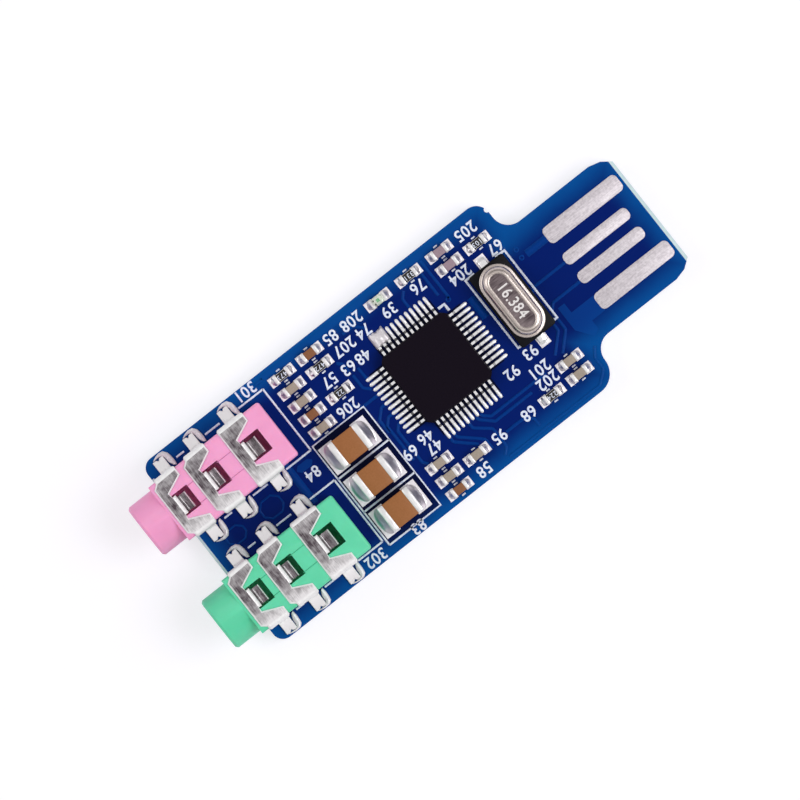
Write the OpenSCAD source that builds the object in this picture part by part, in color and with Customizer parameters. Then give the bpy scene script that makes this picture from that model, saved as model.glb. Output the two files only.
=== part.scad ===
// Bare USB sound board: one circuit board whose edge tab plugs into a USB socket, two open 3.5 mm
// jacks, a codec chip, a crystal and the small parts around them.
// +X runs from the jacks to the tab, +Y is the microphone side and +Z is up. The origin lies under
// the middle of the whole part, on the board's underside.

/* [Circuit board] */
// Width across the board
board_w = 19; // [17.1:0.1:23]
// Length of the wide part, from the jack end to the shoulders
board_l = 36.1; // [32.5:0.1:42]
// Thickness of the board
board_t = 2; // [1.6:0.1:2.4]
// Radius of the two corners at the jack end
jack_corner_r = 1; // [0.4:0.1:1.4]
// Radius of the shoulder corner on the microphone side
mic_shoulder_r = 1.3; // [0.4:0.1:1.6]
// Radius of the shoulder corner on the speaker side
speaker_shoulder_r = 1.9; // [0.4:0.1:2]
// Thickness of the bare pads that the parts are soldered to
pad_t = 0.05; // [0.03:0.01:0.1]

/* [USB tab] */
// Length of the tab past the shoulders
tab_l = 10.8; // [10.2:0.1:13]
// Width of the tab
tab_w = 12; // [11.6:0.1:12.4]
// Radius of the inside corners where the tab leaves the shoulders
tab_root_r = 1.6; // [0.5:0.1:1.8]
// Length of the eased corners at the tip
tip_ease_l = 1.9; // [0.5:0.1:2.2]
// Width of the eased corners at the tip
tip_ease_w = 0.9; // [0.3:0.1:1.2]
// Distance from the middle of the tab to a power contact
power_y = 3.5; // [3.4:0.1:3.8]
// Distance from the middle of the tab to a data contact
data_y = 1; // [0.9:0.05:1.2]
// Width of a power contact
power_w = 1.6; // [1.2:0.1:1.8]
// Width of a data contact
data_w = 1.15; // [0.9:0.05:1.3]
// Distance from the shoulders to the contacts
contact_root = 2.45; // [2:0.05:3]
// Distance from the tip to the power contacts, which touch first
power_inset = 0.55; // [0.3:0.05:1]
// Distance from the tip to the data contacts
data_inset = 1.55; // [1:0.05:2]
// Thickness of a contact
contact_t = 0.06; // [0.03:0.01:0.1]
// Corner radius of a contact
contact_r = 0.45; // [0.1:0.05:0.5]

/* [Jacks] */
// Width of a jack's body
jack_w = 5.6; // [5.2:0.1:5.8]
// Height of a jack's body
jack_h = 5; // [4.8:0.1:6]
// Length of a jack's body behind its nose
jack_l = 11.65; // [11.4:0.05:12]
// Diameter of the round nose
nose_d = 5; // [4.6:0.1:5]
// Length of the round nose
nose_l = 2.5; // [1.5:0.1:4]
// Width of the bevels around the nose's rim, outside and in the bore's mouth
nose_bevel = 0.2; // [0.1:0.05:0.3]
// Diameter of the bore that guides the plug
bore_d = 3.6; // [3.5:0.05:3.8]
// Width and height of the square channel behind it
channel_w = 3.9; // [3.8:0.05:4.1]
// Thickness of the body's front wall, the last stretch of the guiding bore
front_wall = 1; // [0.6:0.1:1.2]
// Thickness of the body's rear wall
rear_wall = 0.35; // [0.3:0.05:1]
// Distance that the body stands out past the end of the board
jack_overhang = 0.6; // [0.4:0.1:1]
// Width of the windows over the springs
window_w = 2.1; // [1.9:0.1:2.3]
// Radius of the body's long top edges
jack_edge_r = 0.3; // [0.25:0.05:0.5]
// Radius of the body's rear edges
jack_corner = 0.25; // [0.1:0.05:0.6]
// Diameter of the locating pegs under a jack
peg_d = 1.2; // [0.8:0.1:1.4]
// Clearance around a peg in the board
peg_gap = 0.05; // [0.03:0.01:0.1]

/* [Contact springs] */
// Thickness of the spring sheet
spring_t = 0.2; // [0.15:0.01:0.25]
// Inside radius of the bends over a jack's sides
spring_bend_r = 0.2; // [0.1:0.05:0.2]
// Width of the tongue that reaches into the window
tongue_w = 1.8; // [1.5:0.05:1.85]
// Depth that a resting tongue reaches into the channel
tongue_reach = 0.3; // [0.2:0.05:0.35]
// Distance that the feet reach out from a jack's side
foot_reach = 1.4; // [1:0.05:1.45]
// Width of a foot
foot_w = 1.05; // [0.7:0.05:1.2]

/* [Codec chip] */
// Side of the square moulded body
chip_w = 7; // [6:0.1:7.4]
// Height of the moulded body
chip_h = 1.4; // [1:0.1:1.6]
// Gap between the body and the board
chip_gap = 0.15; // [0.1:0.01:0.2]
// Distance between neighbouring leads
lead_pitch = 0.5; // [0.4:0.05:0.65]
// Width of a lead
lead_w = 0.22; // [0.16:0.01:0.26]
// Thickness of a lead
lead_t = 0.15; // [0.1:0.01:0.18]
// Distance that the leads reach out from the body
lead_reach = 1; // [0.9:0.05:1.1]
// Distance that a pad runs on past its lead
chip_pad_run = 0.9; // [0.2:0.05:1]

/* [Crystal] */
// Length of the can's flange
crystal_l = 7.05; // [6.4:0.05:7.3]
// Width of the can's flange
crystal_w = 3.2; // [3:0.05:3.5]
// Height of the crystal over the board
crystal_h = 3; // [2.2:0.1:4]
// Width of the flange around the can
flange_w = 0.25; // [0.15:0.01:0.35]
// Radius of the can's top edge
can_edge_r = 0.5; // [0.2:0.05:0.6]
// Thickness of the plastic base
crystal_base_t = 0.6; // [0.4:0.05:0.8]
// Width of the base's rim around the flange
crystal_rim = 0.2; // [0.1:0.05:0.3]
// Width of the two flat leads
crystal_lead_w = 0.7; // [0.4:0.05:1]
// Distance that the leads run out past the base
crystal_lead_run = 0.55; // [0.3:0.05:0.7]
// Thickness of the leads, on which the base stands
crystal_lead_t = 0.15; // [0.1:0.01:0.2]

/* [Supply capacitors] */
// Length of a supply capacitor
bulk_l = 3.2; // [3:0.05:3.4]
// Width of a supply capacitor
bulk_w = 2.5; // [2.2:0.05:2.7]
// Height of a supply capacitor
bulk_h = 2; // [1.2:0.1:2.6]
// Length of its metal ends
bulk_end = 0.62; // [0.3:0.01:0.8]
// Distance that its pads run out past its ends
bulk_pad_run = 0.78; // [0.4:0.02:0.9]
// Gap between neighbouring supply capacitors
bulk_gap = 0.9; // [0.5:0.05:1.2]

/* [Small parts] */
// Length of a small resistor or capacitor
chip_part_l = 1.6; // [1.4:0.05:1.8]
// Width of a small resistor or capacitor
chip_part_w = 0.8; // [0.6:0.05:0.9]
// Height of a small capacitor
small_cap_h = 0.8; // [0.5:0.05:0.9]
// Height of a small resistor
resistor_h = 0.45; // [0.35:0.05:0.6]
// Length of the metal ends
chip_part_end = 0.35; // [0.2:0.05:0.5]
// Distance that the pads run out past the ends
part_pad_run = 0.45; // [0.3:0.05:0.5]
// Gap between the pads of neighbouring small parts in a row
column_gap = 0.45; // [0.3:0.05:0.6]
// Gap between the bodies of neighbouring rows of small parts
row_gap = 0.58; // [0.4:0.02:0.7]
// Gap between the pads of the lamp and of the parts beside it
lamp_gap = 0.77; // [0.4:0.01:0.9]
// Height of the lamp over the board
lamp_h = 0.75; // [0.6:0.05:1.1]

/* [Hidden] */
$fn = 48;
// Steps in the bends of a strip, and in the rounded side of a lump of solder
bend_step = 24;
lump_step = 30;
// How far a cutter runs past what it cuts
past = 0.5;
// How far two stretches of one piece run into each other
weld = 0.01;

// Along the part
part_l = nose_l + jack_overhang + board_l + tab_l;
tip_x = part_l / 2;
shoulder_x = tip_x - tab_l;
board_end_x = shoulder_x - board_l;
jack_front_x = board_end_x - jack_overhang;
jack_rear_x = jack_front_x + jack_l;
board_top = board_t;
pad_top = board_top + pad_t;
bore_z = jack_h / 2;

// The jacks stand side by side, and the width that their feet leave free lies at both long edges
// and between them
foot_brim = 0.05;
feet_span = jack_w + 2 * (foot_reach + foot_brim);
feet_room = board_w - 2 * feet_span;
mic_jack_y = board_w / 2 - 0.2 * feet_room - feet_span / 2;
speaker_jack_y = -board_w / 2 + 0.1 * feet_room + feet_span / 2;
// The pegs' distances from the front of the body, and how far they stop short of the underside
PEG_AT = [2.4, 9.4];
peg_short = 0.3;

// Springs from the front of a jack to its rear. Each is [distance of its front edge from the body's
// front, width of its band, where its side flaps start, where they end, where its feet start,
// length of its window, length of its tongue], the middle four measured from its own front edge.
SPRINGS = [
    [0.25, 0.85, 0.45, 2.55, 1.25, 1.65, 1.25],
    [3.35, 1, 0.45, 2.55, 1.3, 1.65, 1.25],
    [7.35, 1, 0, 2.7, 0.95, 1.95, 1.5],
];
SPRING_NAMES = ["sleeve", "ring", "tip"];
// How far a window reaches back under the band, to clear the bend of the tongue
window_ease = 0.05;
// Width of a spring's band between its two flaps, and where the flaps' slanted edges end
band_straight = 2.6;
flap_corner_v = 2.05;

// What the groups of parts take up along the board
jack_zone = jack_l - jack_overhang;
bulk_pad_l = bulk_l + 2 * bulk_pad_run;
chip_span = chip_w + 2 * (lead_reach + chip_pad_run);
crystal_base_w = crystal_w + 2 * crystal_rim;
crystal_base_l = crystal_l + 2 * crystal_rim;
// The rest of the board's length is shared out behind the jacks, the supply capacitors, the chip
// and the crystal
LENGTH_SHARES = [0.243, 0.333, 0.212, 0.212];
spare_l = board_l - jack_zone - bulk_pad_l - chip_span - crystal_base_w;
GAP_BEHIND = spare_l * LENGTH_SHARES;
bulk_x = jack_rear_x + GAP_BEHIND[0] + bulk_pad_l / 2;
chip_x = bulk_x + bulk_pad_l / 2 + GAP_BEHIND[1] + chip_span / 2;
crystal_x = chip_x + chip_span / 2 + GAP_BEHIND[2] + crystal_base_w / 2;

// Behind the jacks, five rows of small parts and three supply capacitors stand across the board.
// The rest of its width is shared out at both long edges and between the two groups.
mic_rows = 5;
bulk_count = 3;
row_pitch = chip_part_w + row_gap;
bulk_pitch = bulk_w + bulk_gap;
spare_w = board_w - mic_rows * row_pitch + row_gap - bulk_count * bulk_pitch + bulk_gap;
mic_edge = 0.287 * spare_w;
speaker_edge = 0.157 * spare_w;
bulk_edge = 0.429 * spare_w;
function mic_row(n) = board_w / 2 - mic_edge - chip_part_w / 2 - n * row_pitch;
function speaker_row(n) = -board_w / 2 + speaker_edge + chip_part_w / 2 + n * row_pitch;
BULK_Y = [for (i = [bulk_count - 1 : -1 : 0]) -board_w / 2 + bulk_edge + bulk_w / 2 + i * bulk_pitch];

// The chip and the crystal each stand between two rows of small parts. The share is how much of
// the room left between the rows lies towards the speaker side.
joint_brim = 0.05;
joint_w = chip_part_w + 2 * joint_brim;
function stand_between(low, high, span, share) =
    low + joint_w / 2 + span / 2 + share * (high - low - joint_w - span);
chip_y = stand_between(speaker_row(1), mic_row(0), chip_span, 0.54);
crystal_pad_run = 0.4;
crystal_span = crystal_base_l + 2 * (crystal_lead_run + crystal_pad_run);
crystal_y = stand_between(speaker_row(2), mic_row(1), crystal_span, 0.78);

// Width of a corner of the chip that carries no lead
chip_corner = 0.73;
leads_a_side = floor((chip_w - 2 * chip_corner) / lead_pitch) + 1;
lead_bend_r = 0.15;
// How far from the body a lead bends down, and how steeply
lead_shoulder = 0.3;
lead_slope = 78;

// Columns of small parts: pairs beside the larger parts, and the lamp's row beside the crystal's
part_pad_l = chip_part_l + 2 * part_pad_run;
column_pitch = part_pad_l + column_gap;
// How far each pair stands towards the tab from the middle of the larger part beside it
jack_pair_shift = 0.6;
chip_pair_shift = -3.3;
crystal_pair_shift = -0.8;
jack_pair = bulk_x + jack_pair_shift;
chip_pair = chip_x + chip_pair_shift;
crystal_pair = crystal_x + crystal_pair_shift;
function column(pair, side) = pair + side * column_pitch / 2;
lamp_step = part_pad_l + lamp_gap;
lamp_partner_x = column(crystal_pair, -1) - lamp_step;
lamp_x = lamp_partner_x - lamp_step;

// Where each small part stands
RESISTOR_AT = [
    [column(jack_pair, -1), mic_row(0)],
    [column(jack_pair, 1), mic_row(1)],
    [column(jack_pair, 1), mic_row(3)],
    [lamp_partner_x, mic_row(0)],
    [column(crystal_pair, 1), mic_row(1)],
    [column(crystal_pair, -1), speaker_row(1)],
];
SMALL_CAP_AT = [
    [column(jack_pair, -1), mic_row(1)],
    [column(jack_pair, -1), mic_row(2)],
    [column(jack_pair, -1), mic_row(3)],
    [column(jack_pair, -1), mic_row(4)],
    [column(jack_pair, 1), mic_row(0)],
    [column(crystal_pair, -1), mic_row(0)],
    [column(crystal_pair, -1), mic_row(1)],
    [column(chip_pair, -1), speaker_row(2)],
    [column(chip_pair, -1), speaker_row(1)],
    [column(chip_pair, -1), speaker_row(0)],
    [column(chip_pair, 1), speaker_row(1)],
    [column(crystal_pair, 1), speaker_row(2)],
    [column(crystal_pair, 1), speaker_row(1)],
];
LAMP_AT = [lamp_x, mic_row(0)];
// The small capacitors with darker ceramic, by their place in the list
DARK_CAPS = [2, 4, 9];

CONTACT_NAMES = ["usb_contact_power", "usb_contact_data_minus", "usb_contact_data_plus",
                 "usb_contact_ground"];

NODES = concat(
    ["circuit_board"],
    CONTACT_NAMES,
    ["mic_jack_housing", "speaker_jack_housing"],
    [for (s = SPRING_NAMES) str("mic_jack_", s, "_spring")],
    [for (s = SPRING_NAMES) str("speaker_jack_", s, "_spring")],
    ["codec_chip_body", "codec_chip_leads", "crystal_base", "crystal_can", "crystal_leads"],
    [for (i = [1 : len(BULK_Y)]) str("supply_capacitor_", i)],
    [for (i = [1 : len(SMALL_CAP_AT)]) str("small_capacitor_", i)],
    [for (i = [1 : len(RESISTOR_AT)]) str("resistor_", i)],
    ["status_lamp", "jack_solder", "chip_solder", "crystal_solder", "supply_capacitor_solder",
     "small_part_solder"]
);
node = "all";

// A bent strip. Each move is [straight run, turn to the left in degrees, radius of the turn].
function follow(moves, at = [0, 0, 0], i = 0) =
    i == len(moves) ? [at] :
    let (
        turn = moves[i][1],
        side = sign(turn),
        r = moves[i][2],
        bend = at + [moves[i][0] * cos(at.z), moves[i][0] * sin(at.z), 0],
        centre = [bend.x - side * r * sin(at.z), bend.y + side * r * cos(at.z)],
        steps = ceil(abs(turn) / bend_step),
        arc = [for (k = [1 : 1 : steps - 1])
            let (a = at.z + turn * k / steps)
            [centre.x + side * r * sin(a), centre.y - side * r * cos(a), a]],
        last = at.z + turn,
        end = turn == 0 ? bend : [centre.x + side * r * sin(last), centre.y - side * r * cos(last), last]
    )
    concat([at], turn == 0 ? [] : [bend], arc, follow(moves, end, i + 1));

function beside(line, d) = [for (q = line) [q.x - d * sin(q.z), q.y + d * cos(q.z)]];

function backwards(list) = [for (i = [len(list) - 1 : -1 : 0]) list[i]];

module strip(moves, t) {
    line = follow(moves);
    polygon(concat(beside(line, t / 2), backwards(beside(line, -t / 2))));
}

// Flat shapes that several pieces share
module rounded_plate(l, w, r) {
    square([l - 2 * r, w], center = true);
    square([l, w - 2 * r], center = true);
    for (sx = [-1, 1], sy = [-1, 1])
        translate([sx * (l / 2 - r), sy * (w / 2 - r)])
            circle(r);
}

module racetrack(l, w) {
    square([w, l - w], center = true);
    for (s = [-1, 1])
        translate([0, s * (l - w) / 2])
            circle(w / 2);
}

// What is cut away to round a corner at the origin whose sides run to -X and -Y
module corner_cut(r) {
    difference() {
        translate([-r, -r])
            square(r + past);
        translate([-r, -r])
            circle(r);
    }
}

// What is added to round an inside corner at the origin that opens to +X and +Y
module corner_fill(r) {
    difference() {
        square(r);
        translate([r, r])
            circle(r);
    }
}

// Turns an XZ drawing into a slab that is w wide and centred across Y
module slab_across(w) {
    rotate([90, 0, 0])
        linear_extrude(w, center = true)
            children();
}

// Circuit board. The nick at its shoulder is where it was broken out of its panel.
nick_r = 0.25;

// The tab's corners are eased in two flat steps, which lead it into the socket
module tab_outline() {
    half = tab_w / 2;
    ease = [
        [tab_l - tip_ease_l, half],
        [tab_l - 0.45 * tip_ease_l, half - 0.3 * tip_ease_w],
        [tab_l, half - tip_ease_w],
    ];
    polygon(concat(
        [[-past, -half]], [for (q = ease) [q.x, -q.y]], backwards(ease), [[-past, half]]
    ));
}

module board_outline() {
    difference() {
        union() {
            translate([board_end_x, -board_w / 2])
                square([board_l, board_w]);
            translate([shoulder_x, 0])
                tab_outline();
            for (s = [0, 1])
                mirror([0, s, 0])
                    translate([shoulder_x, tab_w / 2])
                        corner_fill(tab_root_r);
        }
        for (s = [0, 1])
            mirror([0, s, 0])
                translate([board_end_x, board_w / 2])
                    mirror([1, 0, 0])
                        corner_cut(jack_corner_r);
        translate([shoulder_x, board_w / 2])
            corner_cut(mic_shoulder_r);
        translate([shoulder_x, board_w / 2 - mic_shoulder_r + nick_r])
            circle(nick_r);
        mirror([0, 1, 0])
            translate([shoulder_x, board_w / 2])
                corner_cut(speaker_shoulder_r);
    }
}

module circuit_board() {
    color("#1238a8")
        difference() {
            linear_extrude(board_t)
                board_outline();
            for (y = [mic_jack_y, speaker_jack_y], peg = PEG_AT)
                translate([jack_front_x + peg, y, -past])
                    cylinder(h = board_t + 2 * past, d = peg_d + 2 * peg_gap);
        }
}

// USB contacts: the power pair runs nearer the tip than the data pair, so that it touches first
module usb_contact(y, w, inset) {
    from = shoulder_x + contact_root;
    to = tip_x - inset;
    color("#d8d6cf")
        translate([(from + to) / 2, y, board_top])
            linear_extrude(contact_t)
                rounded_plate(to - from, w, contact_r);
}

// Jacks: each is drawn with its body's front at X = 0 and its underside at Z = 0
module at_jack(y) {
    translate([jack_front_x, y, board_top])
        children();
}

module jack_section() {
    difference() {
        translate([-jack_w / 2, 0])
            square([jack_w, jack_h]);
        for (s = [0, 1])
            mirror([s, 0, 0])
                translate([jack_w / 2, jack_h])
                    corner_cut(jack_edge_r);
    }
}

module jack_plan() {
    difference() {
        translate([0, -jack_w / 2])
            square([jack_l, jack_w]);
        for (s = [0, 1])
            mirror([0, s, 0])
                translate([jack_l, jack_w / 2])
                    corner_cut(jack_corner);
    }
}

module jack_side() {
    difference() {
        square([jack_l, jack_h]);
        translate([jack_l, jack_h])
            corner_cut(jack_corner);
    }
}

module jack_body() {
    intersection() {
        rotate([90, 0, 90])
            linear_extrude(jack_l)
                jack_section();
        linear_extrude(jack_h)
            jack_plan();
        slab_across(jack_w)
            jack_side();
    }
    for (peg = PEG_AT)
        translate([peg, 0, peg_short - board_t])
            cylinder(h = board_t - peg_short + past, d = peg_d);
}

// Both are drawn standing on the rim of the nose
module jack_nose() {
    cylinder(h = nose_bevel, d1 = nose_d - 2 * nose_bevel, d2 = nose_d);
    translate([0, 0, nose_bevel])
        cylinder(h = nose_l - nose_bevel + weld, d = nose_d);
}

module jack_bore() {
    guide_l = nose_l + front_wall;
    translate([0, 0, -past])
        cylinder(h = guide_l + past + weld, d = bore_d);
    translate([0, 0, -weld])
        cylinder(h = nose_bevel + weld, d1 = bore_d + 2 * nose_bevel + weld, d2 = bore_d);
    translate([0, 0, guide_l])
        linear_extrude(jack_l - front_wall - rear_wall)
            square(channel_w, center = true);
}

module jack_housing(shade) {
    color(shade)
        difference() {
            union() {
                jack_body();
                translate([-nose_l, 0, bore_z])
                    rotate([0, 90, 0])
                        jack_nose();
            }
            translate([-nose_l, 0, bore_z])
                rotate([0, 90, 0])
                    jack_bore();
            for (s = SPRINGS)
                translate([s[0] + s[1] - window_ease, -window_w / 2, bore_z])
                    cube([s[5], window_w, jack_h]);
        }
}

// Contact springs: each is one strip, bent over the jack and down both sides to a pair of feet,
// with a tongue cut from its middle that dips through the window to press on the plug
module spring_section() {
    drop = jack_h - pad_t;
    turn_r = spring_bend_r + spring_t / 2;
    for (s = [0, 1])
        mirror([s, 0, 0])
            translate([-weld, jack_h + spring_t / 2])
                strip([
                    [jack_w / 2 + weld - spring_bend_r, -90, turn_r],
                    [drop - 2 * turn_r, 90, turn_r],
                    [foot_reach - spring_bend_r - spring_t, 0, 0],
                ], spring_t);
}

module spring_plan(spring) {
    band = spring[1];
    flap_from = spring[2];
    flap_to = spring[3];
    out = jack_w / 2 + foot_reach + past;
    notch = 0.2;
    // The flaps' corners and the band's own corners lie this far in from the jack's sides
    flap_inset = 0.2;
    band_inset = 0.55;
    foot_mid = spring[4] + foot_w / 2;
    difference() {
        for (s = [0, 1])
            mirror([0, s, 0])
                polygon([
                    [0, -weld], [band, -weld], [band, band_straight / 2], [flap_to, flap_corner_v],
                    [flap_to, out], [flap_from, out], [flap_from, jack_w / 2 - flap_inset],
                    [0, jack_w / 2 - band_inset],
                ]);
        for (s = [0, 1])
            mirror([0, s, 0])
                translate([foot_mid, jack_w / 2 + foot_reach])
                    polygon([[-notch, past], [0, -notch], [notch, past]]);
    }
}

// Seen from the side, the flaps narrow to the width of the feet half way down
module spring_side(spring) {
    waist = jack_h * 0.45;
    wide_from = waist + 0.4;
    polygon([
        [spring[4], 0], [spring[4] + foot_w, 0], [spring[4] + foot_w, waist],
        [spring[3], wide_from], [spring[3], jack_h + past], [0, jack_h + past],
        [0, wide_from], [spring[4], waist],
    ]);
}

module spring_tongue(spring) {
    bend_r = 0.25;
    dip_r = 0.2;
    steep = 68;
    rise = 35;
    // How far the middle of the sheet comes down from the band to the tongue's lowest point
    depth = jack_h - (bore_z + channel_w / 2 - tongue_reach);
    run = (depth - (bend_r + dip_r) * (1 - cos(steep))) / sin(steep);
    before_rise = (bend_r + dip_r) * sin(steep) + run * cos(steep) + dip_r * sin(rise);
    translate([spring[1] - weld, jack_h + spring_t / 2])
        strip([
            [weld, -steep, bend_r],
            [run, steep + rise, dip_r],
            [(spring[6] - before_rise) / cos(rise), 0, 0],
        ], spring_t);
}

module contact_spring(spring) {
    color("#c9c8c4")
        translate([spring[0], 0, 0]) {
            intersection() {
                rotate([90, 0, 90])
                    linear_extrude(spring[3])
                        spring_section();
                linear_extrude(jack_h + 2 * past)
                    spring_plan(spring);
                slab_across(jack_w + 2 * foot_reach + 2 * past)
                    spring_side(spring);
            }
            slab_across(tongue_w)
                spring_tongue(spring);
        }
}

// Codec chip: both halves of the moulding taper away from the plane where the leads come out
module chip_profile() {
    draft = 0.12;
    half = chip_w / 2;
    slab_across(chip_w)
        polygon([
            [-half + draft, 0], [half - draft, 0], [half, chip_h / 2],
            [half - draft, chip_h], [-half + draft, chip_h], [-half, chip_h / 2],
        ]);
}

module chip_plan() {
    corner = 0.45;
    side = chip_w / 2 - corner;
    polygon([
        [chip_w / 2, -side], [chip_w / 2, side], [side, chip_w / 2], [-side, chip_w / 2],
        [-chip_w / 2, side], [-chip_w / 2, -side], [-side, -chip_w / 2], [side, -chip_w / 2],
    ]);
}

module codec_chip_body() {
    color("#17131a")
        translate([chip_x, chip_y, pad_top + chip_gap])
            intersection() {
                chip_profile();
                rotate([0, 0, 90])
                    chip_profile();
                linear_extrude(chip_h)
                    chip_plan();
            }
}

// Repeats its child for each lead: the child is drawn for a lead that runs out along +X, with the
// body's side at X = 0 and the pads' top at Z = 0. The list leaves out leads by side and place.
module at_each_lead(skip = []) {
    for (side = [0 : 3], i = [0 : leads_a_side - 1])
        if (len([for (q = skip) if (q == [side, i]) q]) == 0)
            translate([chip_x, chip_y, pad_top])
                rotate([0, 0, 90 * side])
                    translate([chip_w / 2, (i - (leads_a_side - 1) / 2) * lead_pitch, 0])
                        children();
}

module codec_chip_leads() {
    leave_z = chip_gap + chip_h / 2;
    drop = leave_z - lead_t / 2;
    bend = 2 * lead_bend_r;
    slope_l = (drop - bend * (1 - cos(lead_slope))) / sin(lead_slope);
    foot_x = lead_shoulder + bend * sin(lead_slope) + slope_l * cos(lead_slope);
    color("#d6d5d0")
        at_each_lead()
            slab_across(lead_w)
                translate([0, leave_z])
                    strip([
                        [lead_shoulder, -lead_slope, lead_bend_r],
                        [slope_l, lead_slope, lead_bend_r],
                        [lead_reach - foot_x, 0, 0],
                    ], lead_t);
}

// Crystal: an oval can with a flange, on a plastic base that its two flat leads pass under
module at_crystal(z) {
    translate([crystal_x, crystal_y, pad_top + z])
        children();
}

can_w = crystal_w - 2 * flange_w;
can_l = crystal_l - 2 * flange_w;
can_h = crystal_h - crystal_base_t - crystal_lead_t;
flange_t = 0.25;
// How far the leads reach back under the base
crystal_lead_root = 1.2;

module crystal_base() {
    color("#141519")
        at_crystal(crystal_lead_t)
            linear_extrude(crystal_base_t)
                rounded_plate(crystal_base_w, crystal_base_l, 0.25);
}

module can_half_profile() {
    difference() {
        square([can_w / 2, can_h]);
        translate([can_w / 2, can_h])
            corner_cut(can_edge_r);
    }
}

module crystal_can() {
    color("#c4c2be")
        at_crystal(crystal_lead_t + crystal_base_t) {
            linear_extrude(flange_t)
                racetrack(crystal_l, crystal_w);
            for (s = [-1, 1])
                translate([0, s * (can_l - can_w) / 2, 0])
                    rotate_extrude()
                        can_half_profile();
            slab_across(can_l - can_w)
                union() {
                    can_half_profile();
                    mirror([1, 0, 0])
                        can_half_profile();
                }
        }
}

module crystal_leads() {
    color("#d6d5d0")
        for (s = [0, 1])
            at_crystal(0)
                mirror([0, s, 0])
                    translate([-crystal_lead_w / 2, crystal_base_l / 2 - crystal_lead_root, 0])
                        cube([crystal_lead_w, crystal_lead_root + crystal_lead_run, crystal_lead_t]);
}

// Supply capacitors and small parts: a block with slightly thicker metal ends
module end_block(l, w, h, end_l, shade, end_shade) {
    plating = 0.03;
    color(shade)
        translate([-l / 2 + end_l, -w / 2 + plating, plating])
            cube([l - 2 * end_l, w - 2 * plating, h - 2 * plating]);
    color(end_shade)
        for (s = [0, 1])
            mirror([s, 0, 0])
                translate([l / 2 - end_l, -w / 2, 0])
                    cube([end_l, w, h]);
}

module supply_capacitor(y) {
    translate([bulk_x, y, pad_top])
        end_block(bulk_l, bulk_w, bulk_h, bulk_end, "#8a6447", "#cfcdc8");
}

module small_capacitor(i) {
    shade = len([for (d = DARK_CAPS) if (d == i) d]) > 0 ? "#7a5a45" : "#a89c90";
    translate([SMALL_CAP_AT[i].x, SMALL_CAP_AT[i].y, pad_top])
        end_block(chip_part_l, chip_part_w, small_cap_h, chip_part_end, shade, "#cfcdc8");
}

module resistor(i) {
    translate([RESISTOR_AT[i].x, RESISTOR_AT[i].y, pad_top])
        end_block(chip_part_l, chip_part_w, resistor_h, chip_part_end, "#1b1b1d", "#cfcdc8");
}

// Status lamp: a thin base with a clear lens that tapers towards its top
module status_lamp() {
    base_h = lamp_h * 0.4;
    draft = 0.1;
    lens_l = chip_part_l - 2 * chip_part_end;
    translate([LAMP_AT.x, LAMP_AT.y, pad_top]) {
        color("#e9e6dc")
            translate([-chip_part_l / 2, -chip_part_w / 2, 0])
                cube([chip_part_l, chip_part_w, base_h]);
        color("#dfeede")
            slab_across(chip_part_w - 0.04)
                polygon([
                    [-lens_l / 2, base_h], [lens_l / 2, base_h],
                    [lens_l / 2 - draft, lamp_h], [-lens_l / 2 + draft, lamp_h],
                ]);
    }
}

// Solder: each joint is a pad with a lump drawn in by the metal beside it. The lump's side is
// hollow where solder is pulled up an end, and full where it is heaped beside a foot.
function hollow_side(l, h) = [for (a = [0 : lump_step : 90]) [l * (1 - sin(a)), h * (1 - cos(a))]];

function full_side(l, h) = [for (a = [0 : lump_step : 90]) [l * cos(a), h * sin(a)]];

module lump(points) {
    polygon(concat([[0, 0]], points));
}

// A pad that starts under a part's end, whose face is at X = 0, and runs out past it
module end_joint(under, run, w, h) {
    brim = 0.06;
    translate([-under, -w / 2, -pad_t])
        cube([under + run, w, pad_t]);
    slab_across(w - 2 * brim)
        lump(hollow_side(run - brim, h));
}

module both_ends(at, l, under, run, w, h) {
    for (s = [0, 1])
        translate([at.x, at.y, pad_top])
            mirror([s, 0, 0])
                translate([l / 2, 0, 0])
                    end_joint(under, run, w, h);
}

module supply_capacitor_solder() {
    color("#dcdcda")
        for (y = BULK_Y)
            both_ends([bulk_x, y], bulk_l, bulk_end, bulk_pad_run, bulk_w + 0.2, bulk_h * 0.5);
}

module small_part_solder() {
    color("#dcdcda") {
        for (at = SMALL_CAP_AT)
            both_ends(at, chip_part_l, chip_part_end, part_pad_run, joint_w, small_cap_h * 0.6);
        for (at = RESISTOR_AT)
            both_ends(at, chip_part_l, chip_part_end, part_pad_run, joint_w, resistor_h * 0.8);
        both_ends(LAMP_AT, chip_part_l, chip_part_end, part_pad_run, joint_w, lamp_h * 0.35);
    }
}

// One solder bridge joins the last three pads of the row towards the microphone side
bridged_leads = 3;

module chip_solder() {
    pad_w = min(lead_w + 0.08, lead_pitch - 0.1);
    under = 0.35;
    bridge_h = 0.35;
    bridge_w = pad_w + (bridged_leads - 1) * lead_pitch;
    bridged = [for (i = [1 : bridged_leads]) [1, leads_a_side - i]];
    toe = lead_reach;
    color("#dcdcda") {
        at_each_lead(bridged)
            translate([toe, 0, 0])
                end_joint(under, chip_pad_run, pad_w, lead_t);
        translate([chip_x, chip_y, pad_top])
            rotate([0, 0, 90])
                translate([chip_w / 2 + toe, (leads_a_side - bridged_leads) / 2 * lead_pitch, 0]) {
                    translate([-under, -bridge_w / 2, -pad_t])
                        cube([under + chip_pad_run, bridge_w, pad_t]);
                    slab_across(bridge_w)
                        lump(full_side(chip_pad_run, bridge_h));
                }
    }
}

crystal_pad_w = crystal_lead_w + 0.3;

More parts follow.
